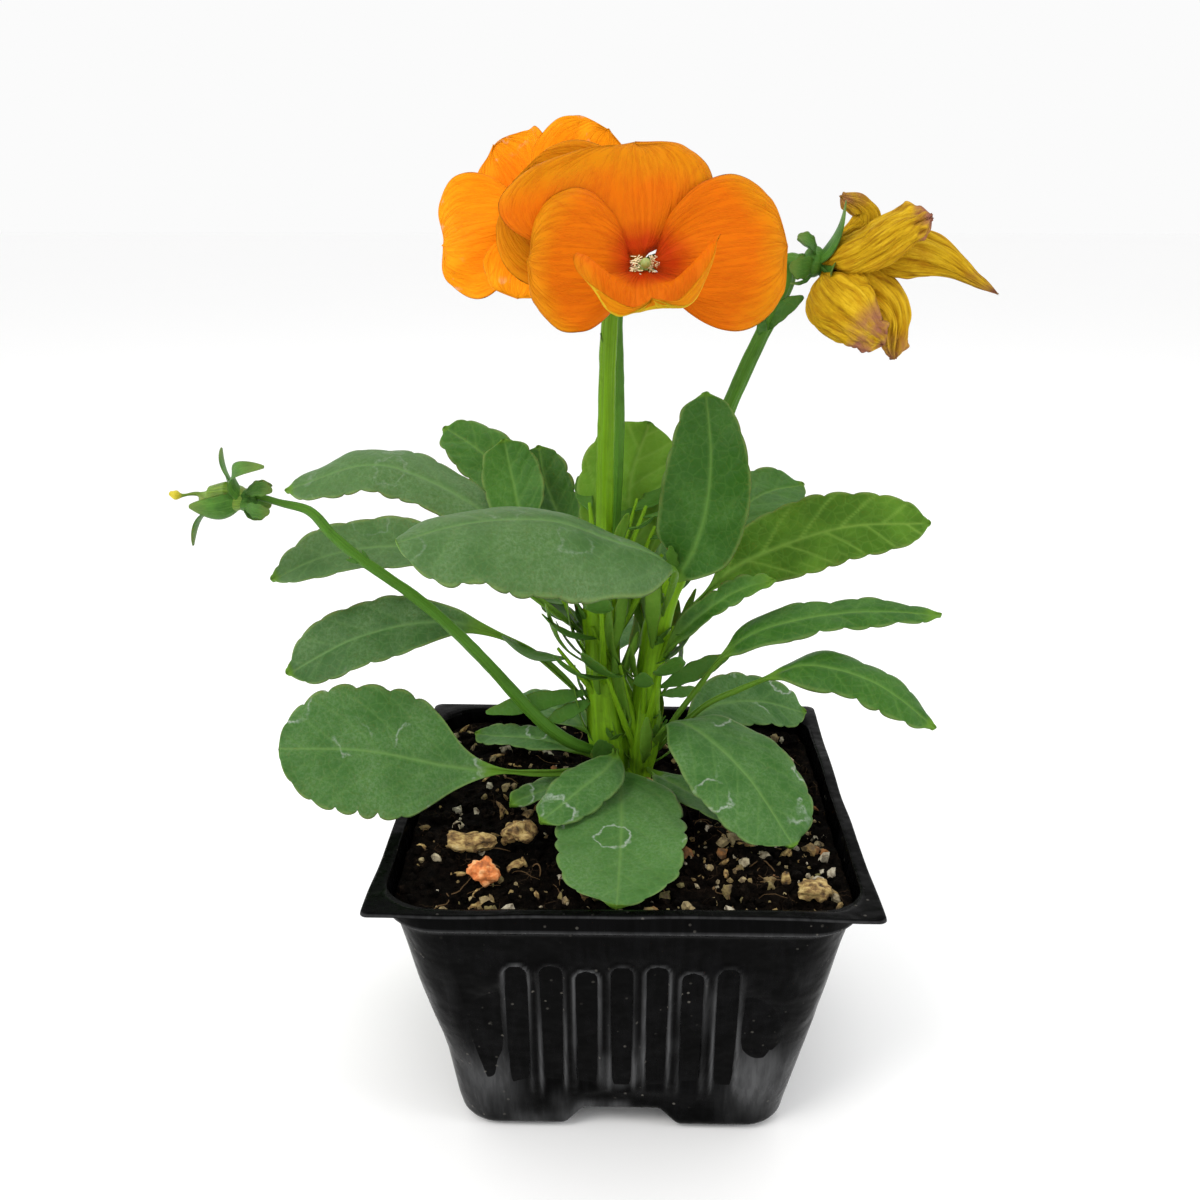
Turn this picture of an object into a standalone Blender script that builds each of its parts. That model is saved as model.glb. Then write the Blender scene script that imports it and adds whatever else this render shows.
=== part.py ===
"""Pansy growing in a square thermoformed nursery pot.

The origin is the middle of the pot's flat base, +Z is up and -Y is the side that the open
flower faces. Dimensions and places are millimetres; MM turns them into Blender's metres.
"""

import math

import bmesh
import bpy
from mathutils import Matrix, Vector

MM = 0.001
SEAT = 0.35  # running gap between two pieces that touch

# Pot
FLANGE_HALF = 44.5  # an eighteen-cell tray is broken into 89 mm squares
POT_HEIGHT = 56.0
WALL = 0.9
MOUTH_HALF = 42.0
COLLAR_HEIGHT = 5.5
STEP = 0.9  # the body is this much narrower than the collar above it
BASE_HALF = 31.5
CORNER_TOP = 10.0
CORNER_BASE = 8.0
FLANGE_CORNER = 1.5
NOTCH_HALF = 10.0
NOTCH_HEIGHT = 3.8
NOTCH_REACH = 13.0
DRAIN_RADIUS = 2.6
FLUTE_COUNT = 7
FLUTE_PITCH = 6.3
FLUTE_HALF = 2.0
FLUTE_DEPTH = 0.45
FLUTE_FOOT = 9.0
FLUTE_TOP = 42.0

# Soil and crown
SOIL_TOP = 52.4
CROWN = Vector((0.6, 13.0, 50.0))

# Plant
STEM_SIDES = 8
LEAF_THICKNESS = 0.8
PETAL_THICKNESS = 0.6


# ---------------------------------------------------------------- shared tools


def clear_scene():
    for obj in list(bpy.data.objects):
        bpy.data.objects.remove(obj, do_unlink=True)


def finish_material(name, colour, roughness):
    mat = bpy.data.materials.new(name)
    mat.use_nodes = True
    shader = mat.node_tree.nodes["Principled BSDF"]
    shader.inputs["Base Color"].default_value = (*colour, 1.0)
    shader.inputs["Roughness"].default_value = roughness
    shader.inputs["Metallic"].default_value = 0.0
    return mat


def add_object(name, bm, mat):
    """Turns a bmesh in millimetres into a named object in metres."""
    bmesh.ops.recalc_face_normals(bm, faces=bm.faces)
    bmesh.ops.scale(bm, vec=(MM, MM, MM), verts=bm.verts)
    mesh = bpy.data.meshes.new(name)
    bm.to_mesh(mesh)
    bm.free()
    mesh.materials.append(mat)
    mesh.shade_smooth()
    mesh.set_sharp_from_angle(angle=math.radians(40))
    obj = bpy.data.objects.new(name, mesh)
    bpy.context.scene.collection.objects.link(obj)
    return obj


def loft(bm, start, rings, end):
    """Skins closed rings of equal length in order, and closes each end on one point."""
    loops = [[bm.verts.new(p) for p in ring] for ring in rings]
    first = bm.verts.new(start)
    last = bm.verts.new(end)
    count = len(loops[0])
    for i in range(count):
        j = (i + 1) % count
        bm.faces.new((first, loops[0][j], loops[0][i]))
        bm.faces.new((last, loops[-1][i], loops[-1][j]))
        for low, high in zip(loops, loops[1:]):
            bm.faces.new((low[i], low[j], high[j], high[i]))


def smooth_path(points, steps):
    """steps + 1 points evenly spaced along a Catmull-Rom curve through the given points."""
    pts = [Vector(p) for p in points]
    pts = [2 * pts[0] - pts[1], *pts, 2 * pts[-1] - pts[-2]]
    fine = []
    per_span = 12
    for a, b, c, d in zip(pts, pts[1:], pts[2:], pts[3:]):
        for k in range(per_span):
            t = k / per_span
            bend = 2 * a - 5 * b + 4 * c - d
            fine.append(0.5 * (2 * b + (c - a) * t + bend * t**2 + (3 * b - a - 3 * c + d) * t**3))
    fine.append(pts[-2])
    reach = [0.0]
    for p, q in zip(fine, fine[1:]):
        reach.append(reach[-1] + (q - p).length)
    path = []
    k = 0
    for i in range(steps + 1):
        goal = reach[-1] * i / steps
        while k < len(fine) - 2 and reach[k + 1] < goal:
            k += 1
        share = (goal - reach[k]) / (reach[k + 1] - reach[k])
        path.append(fine[k].lerp(fine[k + 1], share))
    return path


def tangents(path):
    ahead = [*path[1:], path[-1]]
    behind = [path[0], *path[:-1]]
    return [(a - b).normalized() for a, b in zip(ahead, behind)]


# ---------------------------------------------------------------- pot and soil


def square_ring(half, corner, z, arc_steps=4):
    """A rounded square, as a list of points running anticlockwise."""
    ring = []
    for quarter in range(4):
        turn = Matrix.Rotation(quarter * math.pi / 2, 3, "Z")
        for k in range(arc_steps + 1):
            angle = k / arc_steps * math.pi / 2
            point = Vector((half - corner, half - corner, z))
            point += corner * Vector((math.cos(angle), math.sin(angle), 0.0))
            ring.append(turn @ point)
    return ring


def body_half(z):
    """Half the width of the tapered body, outside, at height z."""
    top = POT_HEIGHT - COLLAR_HEIGHT
    return BASE_HALF + (MOUTH_HALF - STEP - BASE_HALF) * z / top


def notch_prism(half, height, inner_end):
    """An arched bar through the foot of the front wall, as a bmesh, open side down."""
    bm = bmesh.new()
    outer_end = -BASE_HALF - 6.0
    arch_steps = 8
    squared = 0.6  # flattens the arch towards a rounded rectangle
    sunk = 0.4  # the arch springs from just below the base
    section = [(half, -2.0)]
    for k in range(arch_steps + 1):
        angle = math.pi * k / arch_steps
        across = math.copysign(abs(math.cos(angle)) ** squared, math.cos(angle))
        rise = (height + sunk) * abs(math.sin(angle)) ** squared - sunk
        section.append((half * across, rise))
    section.append((-half, -2.0))
    grow_prism(bm, [(x, outer_end, z) for x, z in section], (0.0, inner_end - outer_end, 0.0))
    return bm


def grow_prism(bm, outline, along):
    """Adds a closed prism to bm: a flat outline carried by one move."""
    face = bm.faces.new([bm.verts.new(p) for p in outline])
    back = bmesh.ops.duplicate(bm, geom=[face])
    moved = [item for item in back["geom"] if isinstance(item, bmesh.types.BMVert)]
    far_face = next(item for item in back["geom"] if isinstance(item, bmesh.types.BMFace))
    bmesh.ops.translate(bm, verts=moved, vec=along)
    edges = [*face.edges, *far_face.edges]
    bmesh.ops.bridge_loops(bm, edges=edges)


def flutes():
    """Seven shallow upright channels with round ends, sunk in the front wall."""
    bm = bmesh.new()
    lean = math.atan2(body_half(FLUTE_TOP) - body_half(FLUTE_FOOT), FLUTE_TOP - FLUTE_FOOT)
    reach = (FLUTE_TOP - FLUTE_FOOT) / math.cos(lean)
    turn = Matrix.Rotation(lean, 4, "X")
    lift = Matrix.Translation((0.0, -body_half(FLUTE_FOOT), FLUTE_FOOT))
    for k in range(FLUTE_COUNT):
        middle = (k - 0.5 * (FLUTE_COUNT - 1)) * FLUTE_PITCH
        one = bmesh.new()
        outline = []
        for step in range(7):
            angle = math.pi * step / 6
            x = middle + FLUTE_HALF * math.cos(angle)
            outline.append((x, FLUTE_DEPTH, reach - FLUTE_HALF + FLUTE_HALF * math.sin(angle)))
        outline.append((middle - FLUTE_HALF, FLUTE_DEPTH, 0.0))
        outline.append((middle + FLUTE_HALF, FLUTE_DEPTH, 0.0))
        grow_prism(one, outline, (0.0, -2.0, 0.0))
        bmesh.ops.transform(one, matrix=lift @ turn, verts=one.verts)
        join_meshes(bm, one)
    return bm


def join_meshes(bm, other):
    mesh = bpy.data.meshes.new("joined")
    other.to_mesh(mesh)
    other.free()
    bm.from_mesh(mesh)
    bpy.data.meshes.remove(mesh)


def drain_hole():
    bm = bmesh.new()
    place = Matrix.Translation((0.3, -BASE_HALF + NOTCH_REACH - 2 * DRAIN_RADIUS, 0.0))
    bmesh.ops.create_cone(
        bm,
        cap_ends=True,
        segments=12,
        radius1=DRAIN_RADIUS,
        radius2=DRAIN_RADIUS,
        depth=20.0,
        matrix=place,
    )
    return bm


def four_sides(name, make_one):
    """A cutter that repeats one bmesh on the four sides of the pot."""
    bm = bmesh.new()
    for quarter in range(4):
        one = make_one()
        turn = Matrix.Rotation(quarter * math.pi / 2, 4, "Z")
        bmesh.ops.transform(one, matrix=turn, verts=one.verts)
        join_meshes(bm, one)
    return as_cutter(add_object(name, bm, bpy.data.materials["black_plastic"]))


def as_cutter(obj):
    obj.hide_render = True
    obj.display_type = "WIRE"
    return obj


def cut(obj, cutter):
    mod = obj.modifiers.new(f"less_{cutter.name}", "BOOLEAN")
    mod.operation = "DIFFERENCE"
    mod.object = cutter


def hollow_rings(gap):
    """The rings of the space inside the pot, this far in from its outer surface."""
    under_collar = POT_HEIGHT - COLLAR_HEIGHT
    return [
        square_ring(BASE_HALF - 2.0 - gap, CORNER_BASE - 2.0 - gap, gap),
        square_ring(BASE_HALF - gap, CORNER_BASE - gap, 2.0 + gap),
        square_ring(body_half(under_collar) - gap, CORNER_TOP - gap, under_collar - STEP),
    ]


def make_pot(plastic):
    top = POT_HEIGHT
    under_collar = top - COLLAR_HEIGHT
    outer = [
        square_ring(BASE_HALF - 2.0, CORNER_BASE - 2.0, 0.0),
        square_ring(BASE_HALF, CORNER_BASE, 2.0),
        square_ring(body_half(under_collar), CORNER_TOP, under_collar),
        square_ring(MOUTH_HALF, CORNER_TOP, under_collar + STEP),
        square_ring(MOUTH_HALF, CORNER_TOP, top - WALL),
        square_ring(FLANGE_HALF, FLANGE_CORNER, top - WALL),
        square_ring(FLANGE_HALF, FLANGE_CORNER, top),
    ]
    bm = bmesh.new()
    loft(bm, (0.0, 0.0, 0.0), outer, (0.0, 0.0, top))
    pot = add_object("pot", bm, plastic)

    mouth = MOUTH_HALF - WALL
    hollow = hollow_rings(WALL)
    hollow.append(square_ring(mouth, CORNER_TOP - WALL, under_collar + STEP))
    hollow.append(square_ring(mouth, CORNER_TOP - WALL, top + 2.0))
    bm = bmesh.new()
    loft(bm, (0.0, 0.0, WALL), hollow, (0.0, 0.0, top + 2.0))
    inside = as_cutter(add_object("inside", bm, plastic))
    hood_end = -BASE_HALF + NOTCH_REACH + WALL
    hood = (NOTCH_HALF + WALL, NOTCH_HEIGHT + WALL, hood_end)
    cut(inside, four_sides("hoods", lambda: notch_prism(*hood)))

    cut(pot, inside)
    notch = (NOTCH_HALF, NOTCH_HEIGHT, -BASE_HALF + NOTCH_REACH)
    cut(pot, four_sides("notches", lambda: notch_prism(*notch)))
    cut(pot, four_sides("drain_holes", drain_hole))
    cut(pot, four_sides("flutes", flutes))
    return pot


def soil_height(x, y):
    """The soil is level with a few low swells, and a little heaped round the crown."""
    swell = 0.5 * math.sin(0.11 * x + 0.6) * math.cos(0.13 * y - 0.4)
    heap = 0.9 * math.exp(-((x - CROWN.x) ** 2 + (y - CROWN.y) ** 2) / 150.0)
    return SOIL_TOP + swell + heap


def make_soil(peat):
    gap = WALL + SEAT
    rings = hollow_rings(gap)
    for share in (1.0, 0.8, 0.6, 0.4, 0.2):
        ring = square_ring((MOUTH_HALF - gap - 0.8) * share, (CORNER_TOP - gap) * share, 0.0)
        rings.append([Vector((p.x, p.y, soil_height(p.x, p.y))) for p in ring])
    bm = bmesh.new()
    loft(bm, (0.0, 0.0, gap), rings, (0.0, 0.0, soil_height(0.0, 0.0)))
    soil = add_object("soil", bm, peat)
    room = gap + 0.1
    hood = (NOTCH_HALF + room, NOTCH_HEIGHT + room, -BASE_HALF + NOTCH_REACH + room)
    cut(soil, four_sides("hood_room", lambda: notch_prism(*hood)))
    cut(soil, as_cutter(crown_solid("crown_room", SEAT, peat)))
    return soil


def crown_solid(name, grow, mat):
    """The woody base that both stems spring from, with its taproot, fatter by grow."""
    profile = [(-19.0, 0.9), (-12.0, 1.7), (-5.0, 3.0), (-1.0, 4.4), (2.0, 5.0), (3.6, 4.4)]
    rings = []
    for depth, radius in profile:
        middle = CROWN + Vector((0.0, 0.0, depth))
        rings.append(circle(middle, Vector((1, 0, 0)), Vector((0, 1, 0)), radius + grow, 10))
    bm = bmesh.new()
    foot = CROWN + Vector((0.0, 0.0, profile[0][0] - 1.5 - grow))
    head = CROWN + Vector((0.0, 0.0, profile[-1][0] + 0.6 + grow))
    loft(bm, foot, rings, head)
    return add_object(name, bm, mat)


def make_chip(name, middle, size, turn, mat):
    """An angular lump of bark or husk lying on the soil."""
    bm = bmesh.new()
    bmesh.ops.create_icosphere(bm, subdivisions=1, radius=1.0)
    for vert in bm.verts:
        ripple = 1.0 + 0.16 * math.sin(5.0 * vert.co.x + 3.0 * vert.co.y + 7.0 * vert.co.z)
        vert.co = Vector([vert.co[i] * size[i] * 0.5 * ripple for i in range(3)])
    bmesh.ops.rotate(bm, verts=bm.verts, matrix=Matrix.Rotation(math.radians(turn), 3, "Z"))
    floor = max(soil_height(middle[0] + v.co.x, middle[1] + v.co.y) - v.co.z for v in bm.verts)
    bmesh.ops.translate(bm, verts=bm.verts, vec=(middle[0], middle[1], floor + SEAT))
    return add_object(name, bm, mat)


CHIPS = {
    "bark_chip_left": dict(middle=(-29.5, -18.0), size=(9.0, 4.5, 3.6), turn=-12),
    "bark_chip_middle": dict(middle=(-19.6, -16.0), size=(5.6, 5.8, 4.6), turn=35),
    "bark_chip_right": dict(middle=(33.5, -33.5), size=(7.5, 4.2, 3.4), turn=40),
    "petal_scrap": dict(middle=(-24.8, -29.0), size=(5.6, 5.0, 3.6), turn=60),
}


# ---------------------------------------------------------------- stems


def circle(middle, across, up, radius, sides):
    ring = []
    for k in range(sides):
        angle = 2 * math.pi * k / sides
        ring.append(middle + radius * (math.cos(angle) * across + math.sin(angle) * up))
    return ring


def tube(name, path, radii, mat, sides=STEM_SIDES):
    """A round stem along a path, its ends drawn in to a point as short as the stem is thick."""
    heading = tangents(path)
    across = heading[0].orthogonal().normalized()
    rings = []
    for k, (point, ahead) in enumerate(zip(path, heading)):
        across = (across - across.dot(ahead) * ahead).normalized()
        share = k / (len(path) - 1)
        radius = radii[0] + (radii[1] - radii[0]) * share
        if k in (0, len(path) - 1):
            radius *= 0.72
        rings.append(circle(point, across, ahead.cross(across), radius, sides))
    bm = bmesh.new()
    start = path[0] - heading[0] * radii[0] * 0.3
    end = path[-1] + heading[-1] * radii[1] * 0.3
    loft(bm, start, rings, end)
    return add_object(name, bm, mat)


# A stem's points are its axis, from where it springs to where it ends.
STEMS = {
    "stem_main": dict(
        points=[
            (-1.9, 12.6, 55.0),
            (-3.3, 12.8, 63.0),
            (-4.1, 13.0, 73.0),
            (-4.6, 13.0, 84.0),
            (-5.0, 12.8, 92.5),
            (-4.9, 12.5, 101.0),
        ],
        radii=(2.5, 1.9),
        steps=10,
    ),
    "stem_side": dict(
        points=[
            (3.7, 12.6, 55.0),
            (4.3, 12.2, 62.0),
            (4.8, 12.0, 73.0),
            (6.4, 12.0, 86.0),
            (8.8, 11.2, 95.0),
            (12.2, 10.0, 101.5),
        ],
        radii=(2.3, 1.5),
        steps=10,
    ),
}

# A flower stalk leaves its stem at a height, and then passes through its points.
STALKS = {
    "stalk_front": dict(
        stem="stem_main",
        leaves_at=90.0,
        points=[
            (-4.1, 8.0, 100.0),
            (-4.0, 7.2, 112.0),
            (-3.7, 5.5, 128.0),
            (-3.3, 2.8, 143.0),
            (-2.2, 1.4, 153.0),
        ],
        radii=(1.6, 1.35),
        steps=14,
    ),
    "stalk_back": dict(
        stem="stem_main",
        leaves_at=94.0,
        points=[
            (-2.8, 18.2, 103.0),
            (-2.0, 18.6, 116.0),
            (-1.7, 20.0, 130.0),
            (-2.1, 22.6, 144.0),
            (-2.8, 28.5, 157.0),
        ],
        radii=(1.4, 1.2),
        steps=14,
    ),
    "stalk_withered": dict(
        stem="stem_side",
        leaves_at=96.0,
        points=[
            (11.4, 16.6, 103.0),
            (15.6, 19.0, 116.5),
            (19.8, 20.2, 129.0),
            (24.2, 20.0, 140.0),
            (28.4, 18.4, 150.0),
            (31.0, 16.4, 157.4),
        ],
        radii=(1.6, 1.25),
        steps=14,
    ),
    "stalk_seed": dict(
        stem="stem_main",
        leaves_at=60.0,
        points=[
            (-11.5, 8.2, 63.4),
            (-17.5, 6.0, 69.5),
            (-28.4, 3.0, 84.0),
            (-38.5, 0.8, 95.5),
            (-52.0, -1.4, 107.0),
        ],
        radii=(1.7, 1.1),
        steps=14,
    ),
}


def surface_point(stem, height, toward, gap):
    """The point beside a stem's axis at a height, on the side of the point that it looks toward."""
    spec = STEMS[stem]
    path = smooth_path(spec["points"], 60)
    nearest = min(range(len(path)), key=lambda k: abs(path[k].z - height))
    axis = path[nearest]
    ahead = tangents(path)[nearest]
    share = nearest / (len(path) - 1)
    radius = spec["radii"][0] + (spec["radii"][1] - spec["radii"][0]) * share
    radius *= min(1.0, 0.72 + 0.28 * share * spec["steps"])
    out = Vector(toward) - axis
    out = (out - out.dot(ahead) * ahead).normalized()
    return axis + out * (radius + gap)


def make_stalk(name, spec, end, mat):
    """A flower stalk from the side of its stem to the back of a calyx."""
    first = spec["points"][0]
    start = surface_point(spec["stem"], spec["leaves_at"], first, SEAT)
    steep = (Vector(first) - start).normalized().z
    gap = SEAT + spec["radii"][0] * (0.3 + 0.55 * steep)
    start = surface_point(spec["stem"], spec["leaves_at"], first, gap)
    path = smooth_path([start, *spec["points"], *end], spec["steps"])
    return tube(name, path, spec["radii"], mat)


# ---------------------------------------------------------------- leaves and petals


def blade_shape(share, belly):
    """Relative width of a blade from 0 at its base to 0 at its tip, widest at the share belly."""
    blunt = 0.55  # how round the tip is: 0.5 is a half circle
    base = blunt * belly / (1.0 - belly)
    peak = belly**base * (1.0 - belly) ** blunt
    return share**base * (1.0 - share) ** blunt / peak


def sheet(name, points, face, half_width, thickness, mat, **shape):
    """A thin curved blade along a path, with sharp margins, seated on its base point.

    face is the way its upper side looks. stalk is the share of the path before the blade
    starts, and stalk_half its half width there. cup lifts the margins towards the face, as a
    share of the half width, and below 0 drops them.
    """
    stalk = shape.get("stalk", 0.0)
    stalk_half = shape.get("stalk_half", 0.75)
    cup = shape.get("cup", 0.15)
    belly = shape.get("belly", 0.45)
    steps = shape.get("steps", 10)
    columns = (-1.0, -0.5, 0.0, 0.5, 1.0)
    fine = 60
    path = smooth_path(points, fine)
    headings = tangents(path)
    rings = []
    for k in range(1, steps):
        share = 1.0 - (1.0 - k / steps) ** 1.3  # the rows gather towards the round tip
        along = round(fine * share)
        share = along / fine
        middle = path[along]
        ahead = headings[along]
        half = stalk_half
        if share > stalk:
            spread = blade_shape((share - stalk) / (1.0 - stalk), belly)
            half += (half_width - stalk_half) * spread
        side = ahead.cross(Vector(face)).normalized()
        up = side.cross(ahead)
        folded = max(cup * half, 0.25 * stalk_half) if cup >= 0 else cup * half

        def place(s, sign):
            swell = sign * 0.5 * thickness * (1.0 - s * s)
            return middle + side * (s * half) + up * (folded * s * s + swell)

        top = [place(s, 1.0) for s in columns]
        under = [place(s, -1.0) for s in reversed(columns[1:-1])]
        rings.append(top + under)
    bm = bmesh.new()
    loft(bm, path[0], rings, path[-1])
    return add_object(name, bm, mat)


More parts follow.
